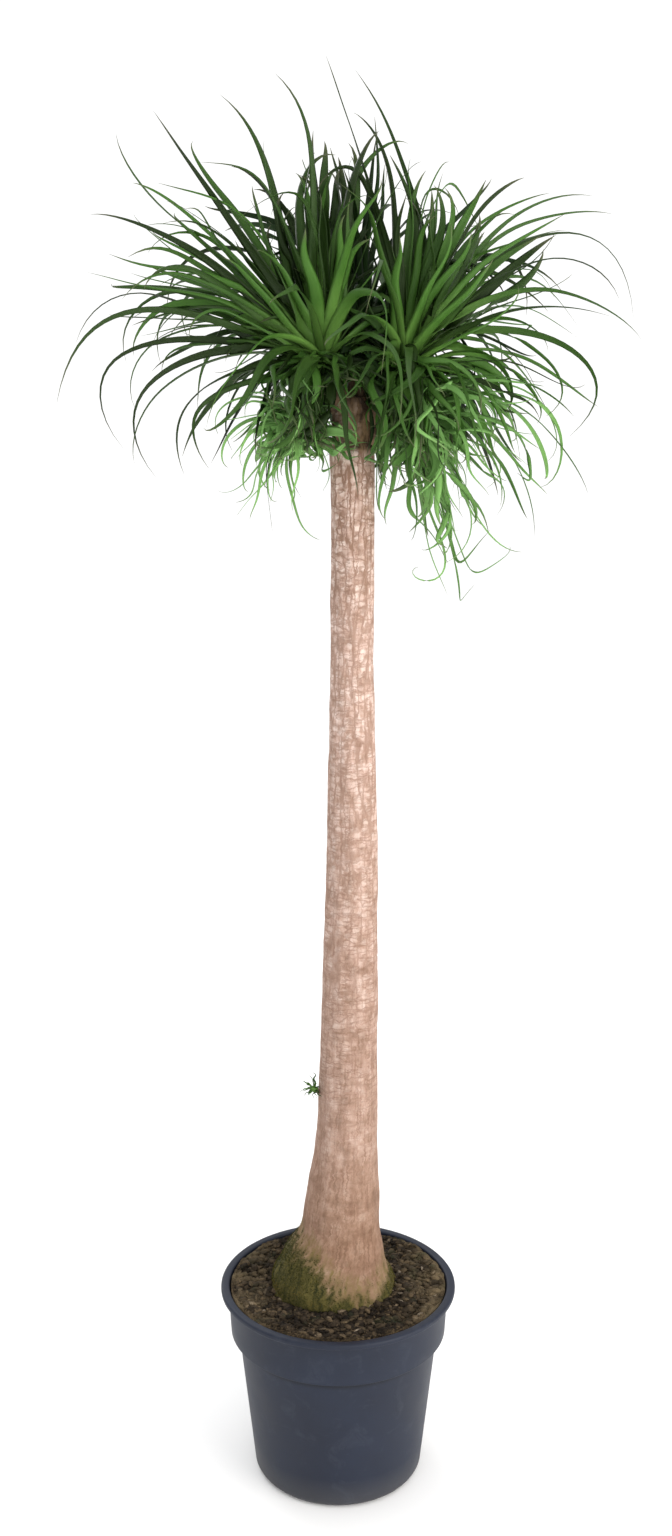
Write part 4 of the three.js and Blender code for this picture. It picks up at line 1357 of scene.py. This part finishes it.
def pale_blocks(tree, bent, upright, colour):
    """Adds the blocks to a colour, palest in the middle, partly as a painted highlight. Some are
    paler than others.
    """
    cracked = add_node(tree, "ShaderNodeAttribute", attribute_name="cracked").outputs["Fac"]
    cell_map = add_node(tree, "ShaderNodeMapping", links={"Vector": bent},
                        inputs={"Scale": (96.0, 92.0, 1.0)})
    cells = add_node(tree, "ShaderNodeTexVoronoi", voronoi_dimensions="2D",
                     links={"Vector": cell_map.outputs["Vector"]},
                     inputs={"Scale": 1.0, "Randomness": 0.85})
    own = add_node(tree, "ShaderNodeSeparateColor", links={"Color": cells.outputs["Color"]})
    own_tone = mark(tree, own.outputs["Red"], 0.1, 0.8, 0.2, 1.0, cracked)
    # A pale middle on each block: partly wear, partly a painted highlight.
    worn_and_highlit = mark(tree, cells.outputs["Distance"], 0.55, 0.25, 0.0, 0.7, own_tone)
    block = mark(tree, upright, 0.03, 0.08, 0.35, 1.0, worn_and_highlit)
    return add_node(tree, "ShaderNodeMix", data_type="RGBA", links={0: block, 6: colour},
                    inputs={7: linear("#efddd4")}).outputs[2]


print("furrows lie about", round(1000 / 88), "mm apart")

# %% [markdown]
# ## Age, painted shade, stains, stub and moss
# Old bark low on the stem is darker and browner, with thin dark fibres along it, and stained
# just above the moss. Under the crown the bark is darkened a little as well, a painted shade of
# the leaves. A few short dark marks lie across the stem where leaves were once attached. The
# brown stub and the moss come last, because they cover all that lies under them.

# %% Weathered bark and painted shade
def aged_and_shaded_bark(tree, bent, colour):
    """Adds the fibres and the darker tone of old bark to a colour, and a painted shade under the
    crown.
    """
    age_and_shade = add_node(tree, "ShaderNodeAttribute", attribute_name="age_and_shade").outputs["Fac"]
    fibres = bark_noise(tree, bent, 560.0, 15.0, detail=3.0, roughness=0.6)
    fibrous = add_node(tree, "ShaderNodeMix", data_type="RGBA",
                       links={0: mark(tree, fibres, 0.45, 0.35, 0.0, 0.65, age_and_shade), 6: colour},
                       inputs={7: linear("#876c5c")})
    # This darkens old bark at the foot, and paints the crown's shade under the leaves.
    return add_node(tree, "ShaderNodeMix", data_type="RGBA", blend_type="MULTIPLY",
                    links={0: age_and_shade, 6: fibrous.outputs[2]}, inputs={7: linear("#bbae9d")}).outputs[2]


def stained_and_scarred(tree, bent, grain, colour):
    """Adds the stain above the moss and the marks of old leaves to a colour."""
    stained = add_node(tree, "ShaderNodeAttribute", attribute_name="stained").outputs["Fac"]
    stain = add_node(tree, "ShaderNodeMix", data_type="RGBA",
                     links={0: mark(tree, grain, 0.35, 0.6, 0.75, 0.25, stained), 6: colour},
                     inputs={7: linear("#6f6238")})
    spot_map = add_node(tree, "ShaderNodeMapping", links={"Vector": bent},
                        inputs={"Scale": (14.0, 40.0, 1.0)})
    spots = add_node(tree, "ShaderNodeTexVoronoi", voronoi_dimensions="2D",
                     links={"Vector": spot_map.outputs["Vector"]}, inputs={"Scale": 1.0})
    near_spot = add_node(tree, "ShaderNodeMapRange", links={"Value": spots.outputs["Distance"]},
                         inputs={"From Min": 0.085, "From Max": 0.05, "To Min": 0.0,
                                 "To Max": 0.35})
    return add_node(tree, "ShaderNodeMix", data_type="RGBA",
                    links={0: near_spot.outputs["Result"], 6: stain.outputs[2]},
                    inputs={7: linear("#7a5d4b")}).outputs[2]


def stub_and_moss(tree, blotch, grain, colour):
    """Covers a colour with the brown wood of the stub and with the green of the foot."""
    brown = add_node(tree, "ShaderNodeAttribute", attribute_name="brown")
    mossy = add_node(tree, "ShaderNodeAttribute", attribute_name="mossy")
    stub_tint = add_node(tree, "ShaderNodeValToRGB", links={"Fac": blotch},
                         stops=[(0.4, "#3c2d1c"), (0.62, "#836a4c")])
    stub = add_node(tree, "ShaderNodeMix", data_type="RGBA",
                    links={0: brown.outputs["Fac"], 6: colour, 7: stub_tint.outputs["Color"]})
    moss_tint = add_node(tree, "ShaderNodeValToRGB", links={"Fac": grain},
                         stops=[(0.3, "#262a11"), (0.65, "#5a5229")])
    return add_node(tree, "ShaderNodeMix", data_type="RGBA",
                    links={0: mossy.outputs["Fac"], 6: stub.outputs[2],
                           7: moss_tint.outputs["Color"]}).outputs[2]


print("fibres lie about", round(1000 / 560, 1), "mm apart")

# %% Dry corky bark
def dry_corky_bark():
    material, tree, shader = new_material("dry corky bark", roughness=0.88, ior=1.45,
                                          specular=0.3)
    place = add_node(tree, "ShaderNodeUVMap", uv_map="bark").outputs["UV"]
    bent = bent_map(tree, place)
    blotch = bark_noise(tree, place, 60.0, 40.0, detail=6.0, roughness=0.65)
    grain = bark_noise(tree, bent, 420.0, 24.0, detail=4.0, roughness=0.7)
    upright = winding_lines(tree, bent, 88.0, 11.0)
    lines = dark_lines(tree, place, bent, upright, grain)
    blocked = pale_blocks(tree, bent, upright, grained_skin(tree, blotch, grain))
    split = add_node(tree, "ShaderNodeMix", data_type="RGBA", links={0: lines, 6: blocked},
                     inputs={7: linear("#8a6c5b")}).outputs[2]
    weathered_and_shaded = stained_and_scarred(tree, bent, grain, aged_and_shaded_bark(tree, bent, split))
    colour = stub_and_moss(tree, blotch, grain, weathered_and_shaded)
    tree.links.new(colour, shader.inputs["Base Color"])
    height = add_node(tree, "ShaderNodeMath", operation="SUBTRACT", links={0: grain, 1: lines})
    bump = add_node(tree, "ShaderNodeBump", links={"Height": height.outputs[0]},
                    inputs={"Strength": 0.55, "Distance": 0.0014})
    tree.links.new(bump.outputs["Normal"], shader.inputs["Normal"])
    return material


bark = dry_corky_bark()
print("made", bark.name)

# %% [markdown]
# ## The stem
# The stem is drawn ring by ring with its true relief: faint ribs, soft hollows and shallow
# dents from smooth noise. Above the compost the rings lie 4 mm apart, and closer still where
# the brown stub starts. The branches are short tubes that end flat under each head. All of it
# is one piece, as it grew. Moss and stains are found by one rule, so we start with that.

# %% Where the foot is mossy
# Angles in degrees from the right, and how many millimetres up the moss reaches there.
MOSS_TOPS = [(-180, 378), (-150, 370), (-113, 358), (-99, 342), (-89, 330), (-73, 317),
             (-58, 310), (-42, 302), (-27, 314), (-10, 328), (40, 308), (90, 315), (140, 355),
             (180, 378)]


MOSS_EDGE = 22.0


def moss_top(angle):
    """The height that moss reaches at an angle round the stem, in radians from the right."""
    degrees = math.degrees(math.atan2(math.sin(angle), math.cos(angle)))
    return float(np.interp(degrees, [m[0] for m in MOSS_TOPS], [m[1] for m in MOSS_TOPS]))


def moss_share(x, y, z, angle):
    """How mossy a point is, from 0 to 1, with a ragged edge and streaks up the stem."""
    ragged = 14 * noise.fractal(Vector((x, y, z)) * 0.05, 0.8, 2.1, 3)
    streaks = 20 * noise.fractal(Vector((x * 0.2, y * 0.2, z * 0.02)), 0.9, 2.0, 3)
    return share_between(moss_top(angle) + ragged + streaks - z, 0, MOSS_EDGE)


print("moss on the left reaches", moss_top(math.pi), "mm")

# %% Relief and age of the bark
SCAR_HEIGHT = 790.0
STUB_FOOT = 1484.0
STUB_EDGE = 14.0
# How dark and brown the bark is at some heights: most at the foot, and a little under the crown,
# where it is a painted shade of the leaves.
BARK_AGE_AND_SHADE = [(380, 0.95), (400, 0.9), (480, 0.7), (560, 0.45), (650, 0.43), (750, 0.32),
             (1150, 0.0), (1245, 0.0), (1330, 0.15), (1500, 0.2)]


def scar_share(z, angle):
    """How deep an old growth stop marks the bark: two wavy lines, deepest on the front right."""
    wave = 3.0 * math.sin(2 * angle + 0.6) + 1.5 * math.sin(7 * angle)
    deep = 0.55 + 0.45 * math.cos(angle + 1.0)
    lines = [(SCAR_HEIGHT + wave, 2.6), (SCAR_HEIGHT - 13 - 1.4 * wave, 2.0)]
    return deep * sum(math.exp(-((z - height) / width) ** 2) for height, width in lines)


def bark_relief(x, y, z, angle):
    """How far the bark stands out at a point, in millimetres."""
    broad = 1.1 * noise.fractal(Vector((x, y, z * 0.4)) * 0.03, 0.9, 2.0, 3)
    fine = 0.5 * noise.fractal(Vector((x, y, z * 0.3)) * 0.12, 0.8, 2.0, 3)
    ribs = 0.35 * math.sin(9 * angle + z / 60) * (1 - foot_share(z))
    return broad + fine + ribs - 0.9 * scar_share(z, angle)


def bark_values(x, y, z, angle):
    """How much of each mark the bark has at a point, from 0 to 1."""
    upper = share_between(z, 640, 1120)
    lowest = 0.16 + 0.14 * share_between(z, 450, 600)
    edge = STUB_FOOT + 6 * math.sin(angle - 0.6) + 16 * noise.noise(Vector((x, y, z)) * 0.07)
    deep = 0.78 + 0.3 * math.cos(angle) + 0.3 * noise.noise(Vector((x, y, z)) * 0.11)
    return dict(
        cracked=lowest + (0.66 - lowest) * upper + 0.34 * share_between(z, 1250, 1400),
        creased=min(share_between(z, 470, 620), share_between(z, 1480, 1330)),
        scar=scar_share(z, angle),
        mossy=moss_share(x, y, z, angle),
        brown=share_between(z - edge, 0, STUB_EDGE) * min(1.0, max(0.35, deep)),
        # Under the crown the darkening is a painted shade of the leaves.
        age_and_shade=float(np.interp(z, [a[0] for a in BARK_AGE_AND_SHADE], [a[1] for a in BARK_AGE_AND_SHADE])),
        stained=moss_share(x, y, z - 26, angle))


deepest = max(scar_share(z, -1.0) for z in range(770, 800))
print("share of the deepest scar on the front right:", round(deepest, 2))

# %% Draw the stem with its branches
STEM_SIDES = 120
STEM_STEP = 4.0
BARK_START = SOIL_EDGE - 6
BRANCH_VALUES = dict(cracked=0.3, creased=0.0, scar=0.0, mossy=0.0, age_and_shade=0.0, stained=0.0)


def stem_rings():
    """Points, bark values and bark map of the stem, from the buried stump up."""
    heights = list(np.arange(STEM_STATIONS[0][0], BARK_START, 24.0))
    heights += list(np.arange(BARK_START, STUB_FOOT, STEM_STEP))
    heights += [1487, 1489, 1491, 1493, 1495, 1500, 1510, 1520, 1530, 1538, 1543, 1548, 1552]
    points, uvs, values = [], [], {}
    for z in heights:
        for i in range(STEM_SIDES):
            angle = 2 * math.pi * i / STEM_SIDES + math.pi / 2
            x, y, _ = stem_point(z, angle)
            out = bark_relief(x, y, z, angle) if z > BARK_START else 0.0
            points.append(stem_point(z, angle, out))
            uvs.append((BARK_TURN * i / STEM_SIDES, z * MM))
            for key, share in bark_values(x, y, z, angle).items():
                values.setdefault(key, []).append(share)
    return points, values, uvs, len(heights)


def branch_rings(head, sides=28, rings=7):
    """A branch that ends in a flat face across its head's axis."""
    foot = np.array(head["foot"], dtype=float)
    seat = np.array(head["seat"], dtype=float)
    axis = unit(head["axis"])
    way = seat - foot
    p, q = across_axis(unit(way))
    u, v = across_axis(axis)
    points = []
    for k in range(rings):
        t = k / (rings - 1)
        bend = max(0.0, 2 * t - 1)
        side_a = unit(p * (1 - bend) + u * bend)
        side_b = unit(q * (1 - bend) + v * bend)
        for i in range(sides):
            angle = 2 * math.pi * i / sides
            out = head["branch"] * (1.1 - 0.1 * t) * (1 + 0.03 * math.sin(5 * angle))
            points.append(foot + way * t + side_a * out * math.cos(angle)
                          + side_b * out * math.sin(angle))
    faces = [tuple(reversed(face)) for face in stack_faces(rings, sides)]
    faces.append(tuple(range(sides)))
    faces.append(tuple(reversed(range((rings - 1) * sides, rings * sides))))
    return points, faces


stem_points, stem_values, stem_uvs, ring_count = stem_rings()
stem_faces = stack_faces(ring_count, STEM_SIDES)
stem_faces.append(tuple(reversed(range(STEM_SIDES))))
stem_faces.append(tuple(range(len(stem_points) - STEM_SIDES, len(stem_points))))
for name, head in HEADS.items():
    branch_points, branch_faces = branch_rings(head)
    shift = len(stem_points)
    stem_faces += [tuple(i + shift for i in face) for face in branch_faces]
    stem_points += [tuple(p) for p in branch_points]
    stem_uvs += [(p[0] * MM, p[2] * MM) for p in branch_points]
    brown = 0.3 if name == "shoot_low_left" else 0.85
    for key, share in dict(BRANCH_VALUES, brown=brown).items():
        stem_values[key] += [share] * len(branch_points)
make_piece("stem_bark", stem_points, stem_faces, bark, replaces=["stem"],
           values=stem_values, uvs=stem_uvs, uv_name="bark", turn=BARK_TURN)

# %% [markdown]
# ## The compost
# Potting compost is bark, peat and a little sand. It lies just under the lip and is pushed up
# a little against the wall, where it dries out pale in patches. The surface is one mesh with
# lumps from layered noise, and thousands of bark chips lie on it, each a rough many-sided lump
# with a tone of its own. One material serves both, and a value at the points tells it which
# is which. It could have been a particle system, but a mesh exports as it is.

# %% Colours of crumbs and chips
def crumbs_and_chips(tree, crumbs):
    """Dark crumbs, and chips with a tone of their own and fibres over it."""
    tone = add_node(tree, "ShaderNodeAttribute", attribute_name="tone")
    is_chip = add_node(tree, "ShaderNodeAttribute", attribute_name="chip")
    soil = add_node(tree, "ShaderNodeValToRGB", links={"Fac": crumbs},
                    stops=[(0.36, "#19140d"), (0.5, "#352b1e"), (0.66, "#5f503a")])
    chips = add_node(tree, "ShaderNodeValToRGB", links={"Fac": tone.outputs["Fac"]},
                     stops=[(0.0, "#1f1913"), (0.45, "#3d3327"), (0.8, "#5b4d3a"), (1.0, "#85796a")])
    fibre_tint = add_node(tree, "ShaderNodeMapRange", links={"Value": crumbs},
                          inputs={"From Min": 0.35, "From Max": 0.65, "To Min": 0.55, "To Max": 1.3})
    shaded = add_node(tree, "ShaderNodeMix", data_type="RGBA", blend_type="MULTIPLY",
                      links={6: chips.outputs["Color"], 7: fibre_tint.outputs["Result"]},
                      inputs={0: 1.0})
    return add_node(tree, "ShaderNodeMix", data_type="RGBA",
                    links={0: is_chip.outputs["Fac"], 6: soil.outputs["Color"],
                           7: shaded.outputs[2]}).outputs[2]


def wet_and_dry(tree, place, colour):
    """Adds wet and dry places a few centimetres wide. The driest lie against the wall."""
    wetness = add_node(tree, "ShaderNodeTexNoise", links={"Vector": place},
                       inputs={"Scale": 42.0, "Detail": 4.0, "Roughness": 0.65})
    wet = add_node(tree, "ShaderNodeMapRange", links={"Value": wetness.outputs["Fac"]},
                   inputs={"From Min": 0.35, "From Max": 0.65, "To Min": 0.55, "To Max": 1.45})
    mottled = add_node(tree, "ShaderNodeMix", data_type="RGBA", blend_type="MULTIPLY",
                       links={6: colour, 7: wet.outputs["Result"]}, inputs={0: 1.0})
    dry = add_node(tree, "ShaderNodeAttribute", attribute_name="dry")
    return add_node(tree, "ShaderNodeMix", data_type="RGBA",
                    links={0: dry.outputs["Fac"], 6: mottled.outputs[2]},
                    inputs={7: linear("#78694f")}).outputs[2]


print("wet places are about", round(1000 / 42), "mm wide")

# %% Damp bark compost
def damp_bark_compost():
    material, tree, shader = new_material("damp bark compost", roughness=0.93, ior=1.4,
                                          specular=0.25)
    place = add_node(tree, "ShaderNodeTexCoord").outputs["Object"]
    crumbs = add_node(tree, "ShaderNodeTexNoise", links={"Vector": place},
                      inputs={"Scale": 240.0, "Detail": 6.0, "Roughness": 0.75}).outputs["Fac"]
    colour = wet_and_dry(tree, place, crumbs_and_chips(tree, crumbs))
    # A thin green film of algae grows in patches.
    algae = add_node(tree, "ShaderNodeTexNoise", links={"Vector": place},
                     inputs={"Scale": 34.0, "Detail": 3.0})
    algae_here = add_node(tree, "ShaderNodeMapRange", links={"Value": algae.outputs["Fac"]},
                          inputs={"From Min": 0.58, "From Max": 0.76, "To Min": 0.0, "To Max": 0.5})
    green = add_node(tree, "ShaderNodeMix", data_type="RGBA",
                     links={0: algae_here.outputs["Result"], 6: colour},
                     inputs={7: linear("#35402a")})
    tree.links.new(green.outputs[2], shader.inputs["Base Color"])
    bump = add_node(tree, "ShaderNodeBump", links={"Height": crumbs},
                    inputs={"Strength": 0.9, "Distance": 0.003})
    tree.links.new(bump.outputs["Normal"], shader.inputs["Normal"])
    return material


compost = damp_bark_compost()
print("made", compost.name)

# %% The compost's surface
SOIL_SIDES = 200
SOIL_RINGS = 70
DENT = 3.2
WALL_LIFT = 6.5


def soil_height(x, y):
    """The height of the compost's surface at a place in the pot."""
    rise = max(0.0, 1 - math.hypot(x, y) / SOIL_EDGE_RADIUS)
    lumps = 1.3 * math.sin(x / 11 + 2 * math.sin(y / 23)) + 1.1 * math.sin(y / 9 + x / 31)
    return SOIL_EDGE + SOIL_RISE * min(1.0, 1.8 * rise) + lumps


def crumbled(x, y):
    """The rough surface, which is pushed up a little against the wall."""
    rough = noise.fractal(Vector((x, y, 3.0)) * 0.16, 0.7, 2.2, 5)
    by_wall = share_between(math.hypot(x, y), 112, 150)
    return soil_height(x, y) + DENT * rough + WALL_LIFT * by_wall * by_wall


def dryness(x, y):
    """The compost is dry and pale in patches against the wall on the left and right."""
    by_side = share_between(abs(x), 88, 138)
    base = 0.55 if x > 0 else 0.35
    return by_side * min(0.7, max(0.0, base + 0.9 * noise.noise(Vector((x, y, 8.0)) * 0.045)))


def soil_surface():
    """Rings from the bottom of the pot up its wall, and then in towards the stem."""
    wall = WALL + 0.35
    band_foot = POT_HEIGHT - BAND_HEIGHT
    side = [(40, wall), (BODY_FOOT_RADIUS - FOOT_FILLET - 1, wall),
            (BODY_FOOT_RADIUS - wall - 2, FOOT_FILLET),
            (BODY_TOP_RADIUS - wall - 1.3, band_foot - 4),
            (BAND_FOOT_RADIUS - wall - 0.3, band_foot + 12), (SOIL_EDGE_RADIUS - 0.3, SOIL_EDGE - 3)]
    points = [(x, y, height) for radius, height in side for x, y in circle(radius, SOIL_SIDES)]
    for k in range(SOIL_RINGS):
        share = 0.998 - 0.608 * k / (SOIL_RINGS - 1)
        points += [(x, y, crumbled(x, y)) for x, y in circle(SOIL_EDGE_RADIUS * share, SOIL_SIDES)]
    return points, len(side) + SOIL_RINGS


print(f"on the right the compost's edge is {crumbled(SOIL_EDGE_RADIUS, 0.0):.0f} mm high")

# %% A bark chip
# A rough lump: the corners of an icosahedron, pushed about.
GOLDEN = (1 + math.sqrt(5)) / 2
LUMP_CORNERS = [(-1, GOLDEN, 0), (1, GOLDEN, 0), (-1, -GOLDEN, 0), (1, -GOLDEN, 0),
                (0, -1, GOLDEN), (0, 1, GOLDEN), (0, -1, -GOLDEN), (0, 1, -GOLDEN),
                (GOLDEN, 0, -1), (GOLDEN, 0, 1), (-GOLDEN, 0, -1), (-GOLDEN, 0, 1)]
LUMP_FACES = [(0, 11, 5), (0, 5, 1), (0, 1, 7), (0, 7, 10), (0, 10, 11), (1, 5, 9), (5, 11, 4),
              (11, 10, 2), (10, 7, 6), (7, 1, 8), (3, 9, 4), (3, 4, 2), (3, 2, 6), (3, 6, 8),
              (3, 8, 9), (4, 9, 5), (2, 4, 11), (6, 2, 10), (8, 6, 7), (9, 8, 1)]


def chip_lump(draw, place, size):
    """The corners of one chip: long, flat, turned at random and lying on the compost."""
    stretch = np.array((size, size * draw(0.35, 0.8), size * draw(0.2, 0.5)))
    turn = draw(0, 2 * math.pi)
    lean = draw(-0.5, 0.5)
    spin = np.array(((math.cos(turn), -math.sin(turn), 0), (math.sin(turn), math.cos(turn), 0),
                     (0, 0, 1)))
    tilt = np.array(((1, 0, 0), (0, math.cos(lean), -math.sin(lean)),
                     (0, math.sin(lean), math.cos(lean))))
    corners = np.array(LUMP_CORNERS) / 1.9
    jitter = np.array([[draw(0.75, 1.25)] for _ in corners])
    return (corners * jitter * stretch) @ (spin @ tilt).T + place


print("corners of a chip:", len(LUMP_CORNERS))

# %% Lay the chips on the compost
CHIP_COUNT = 4600
# A chip's furthest corner lies this many times its size from its middle.
CHIP_REACH = 1.25


def soil_piece():
    """The compost and its chips, with the values that their material reads."""
    points, rings = soil_surface()
    faces = stack_faces(rings, SOIL_SIDES)
    faces.append(tuple(reversed(range(SOIL_SIDES))))
    faces.append(tuple(range(len(points) - SOIL_SIDES, len(points))))
    tones = [0.0] * len(points)
    chips = [0.0] * len(points)
    dry = [dryness(x, y) for x, y, _ in points]
    draw = make_draw(5)
    count = CHIP_COUNT // 1
    for _ in range(count):
        angle = draw(0, 2 * math.pi)
        radius = SOIL_EDGE_RADIUS * math.sqrt(draw(0.25, 0.96))
        # Most chips are about 2 mm in size and dark. A few are up to 8 mm, and very few are pale.
        size = 1.8 + 6.5 * draw(0, 1) ** 2.2
        radius = min(radius, BAND_FOOT_RADIUS - WALL - CHIP_REACH * size)
        x, y = radius * math.cos(angle), radius * math.sin(angle)
        place = np.array((x, y, crumbled(x, y) + 0.15 * size))
        tone = draw(0, 1) ** 1.3 * 0.85 if draw(0, 1) < 0.985 else draw(0.85, 1.0)
        first = len(points)
        points += [tuple(c) for c in chip_lump(draw, place, size)]
        faces += [tuple(i + first for i in face) for face in LUMP_FACES]
        tones += [tone] * len(LUMP_CORNERS)
        chips += [1.0] * len(LUMP_CORNERS)
        dry += [0.8 * dryness(x, y)] * len(LUMP_CORNERS)
    return points, faces, dict(tone=tones, chip=chips, dry=dry)


soil_points, soil_faces, soil_values = soil_piece()
make_piece("compost_surface", soil_points, soil_faces, compost, replaces=["soil"],
           values=soil_values)

# %% [markdown]
# ## Moss on the foot
# Cushion moss grows where the bark stays damp, most on the left of the foot. Each shoot of it
# is 1 to 3 mm long. We try sixteen thousand places and keep a shoot where a draw falls below
# the moss share there, so that they stand thickest where it is high. That gives the soft
# ragged edge. Hair particles could do it too, but would not be exported.

# %% Living cushion moss
def living_cushion_moss():
    material, tree, shader = new_material("living cushion moss", roughness=0.9, ior=1.4,
                                          specular=0.15)
    tone = add_node(tree, "ShaderNodeAttribute", attribute_name="tone")
    colour = add_node(tree, "ShaderNodeValToRGB", links={"Fac": tone.outputs["Fac"]},
                      stops=[(0.0, "#1c230a"), (0.45, "#3c4018"), (0.8, "#625826"), (1.0, "#8a7640")])
    tree.links.new(colour.outputs["Color"], shader.inputs["Base Color"])
    return material


living_moss = living_cushion_moss()
print("made", living_moss.name)

# %% Plant the moss
MOSS_TRIES = 16000
MOSS_HIGHEST = 385.0


def moss_piece():
    """Short three-sided blades that stand on the mossy part of the foot."""
    draw = make_draw(9)
    points, faces, tones = [], [], []
    for _ in range(MOSS_TRIES // (1)):
        angle = draw(0, 2 * math.pi)
        z = draw(SOIL_EDGE + 2, MOSS_HIGHEST)
        root = np.array(stem_point(z, angle, 0.2))
        if draw(0, 1) > moss_share(root[0], root[1], z, angle):
            continue
        out = np.array((math.cos(angle), math.sin(angle), draw(0.1, 0.9)))
        out += np.array((draw(-0.8, 0.8), draw(-0.8, 0.8), draw(-0.8, 0.5)))
        tip = root + unit(out) * draw(1.0, 2.8)
        side = unit(np.cross(unit(out), (0.2, 0.1, 1.0))) * 0.5
        lift = unit(np.cross(side, unit(out))) * 0.45
        first = len(points)
        points += [root + side, root - side, root + lift, tip]
        faces += [(first, first + 1, first + 3), (first + 1, first + 2, first + 3),
                  (first + 2, first, first + 3), (first, first + 2, first + 1)]
        patch = 0.45 * noise.noise(Vector(root) * 0.055) - 0.35 * max(0.0, (z - 318) / 60)
        tones += [draw(0.0, 0.75) + patch] * 3 + [draw(0.4, 1.0) + patch]
    return points, faces, tones


moss_points, moss_faces, moss_tones = moss_piece()
make_piece("foot_moss", moss_points, moss_faces, living_moss,
           values={"tone": moss_tones})

# %% [markdown]
# ## The studio
# The plant stands on a plain white floor without an edge in sight, as in a product photo. The
# sky is even and white to the camera but dims towards the horizon for the plant, which keeps
# the dark pot dark. A large soft lamp stands low on the right in front, so the right side of
# the stem and of the pot is brighter. A weaker one straight ahead fills in the crown, and a
# third lights its back.

# %% Floor, sky and lamps
FLOOR_REACH = 40.0


def white_floor():
    """A sheet of paper so large that its edge is out of sight."""
    mesh = bpy.data.meshes.new("white_floor")
    signs = ((-1, -1), (1, -1), (1, 1), (-1, 1))
    corners = [(x * FLOOR_REACH, y * FLOOR_REACH, 0.0) for x, y in signs]
    mesh.from_pydata(corners, [], [(0, 1, 2, 3)])
    paper, _, shader = new_material("white backdrop paper", roughness=0.9, ior=1.45)
    shader.inputs["Base Color"].default_value = linear("#fafafa")
    mesh.materials.append(paper)
    floor = bpy.data.objects.new("white_floor", mesh)
    bpy.context.scene.collection.objects.link(floor)


def soft_lamp(name, place, target, size, watts, code):
    """A round soft lamp that points at a target. Places and size are in metres."""
    data = bpy.data.lights.new(name, "AREA")
    data.shape = "DISK"
    data.size = size
    data.energy = watts
    data.color = linear(code)[:3]
    lamp = bpy.data.objects.new(name, data)
    lamp.location = place
    lamp.rotation_euler = (Vector(target) - Vector(place)).to_track_quat("-Z", "Y").to_euler()
    bpy.context.scene.collection.objects.link(lamp)


def overhead_sky():
    """A white sky that is bright above and dim at the height of the plant."""
    world = bpy.data.worlds.new("overhead white sky")
    world.use_nodes = True
    tree = world.node_tree
    way = add_node(tree, "ShaderNodeTexCoord").outputs["Generated"]
    height = add_node(tree, "ShaderNodeSeparateXYZ", links={"Vector": way})
    bright = add_node(tree, "ShaderNodeMapRange", links={"Value": height.outputs["Z"]},
                      inputs={"From Min": -0.1, "From Max": 0.8, "To Min": 0.55, "To Max": 1.3})
    seen = add_node(tree, "ShaderNodeLightPath").outputs["Is Camera Ray"]
    strength = add_node(tree, "ShaderNodeMix", links={0: seen, 2: bright.outputs["Result"]},
                        inputs={3: 1.1})
    sky = tree.nodes["Background"]
    sky.inputs["Color"].default_value = linear("#ffffff")
    tree.links.new(strength.outputs[0], sky.inputs["Strength"])
    bpy.context.scene.world = world


white_floor()
overhead_sky()
soft_lamp("key_lamp", (2.5, -2.0, 1.15), (0.0, 0.0, 0.7), 2.6, 79, "#fffaf4")
soft_lamp("front_lamp", (0.2, -3.2, 1.5), (0.0, 0.0, 1.45), 1.4, 17, "#ffffff")
soft_lamp("back_lamp", (-1.6, 2.6, 2.3), (0.0, 0.0, 1.2), 2.0, 22, "#ffffff")
bpy.context.scene.view_settings.view_transform = "Standard"
bpy.context.scene.view_settings.look = "None"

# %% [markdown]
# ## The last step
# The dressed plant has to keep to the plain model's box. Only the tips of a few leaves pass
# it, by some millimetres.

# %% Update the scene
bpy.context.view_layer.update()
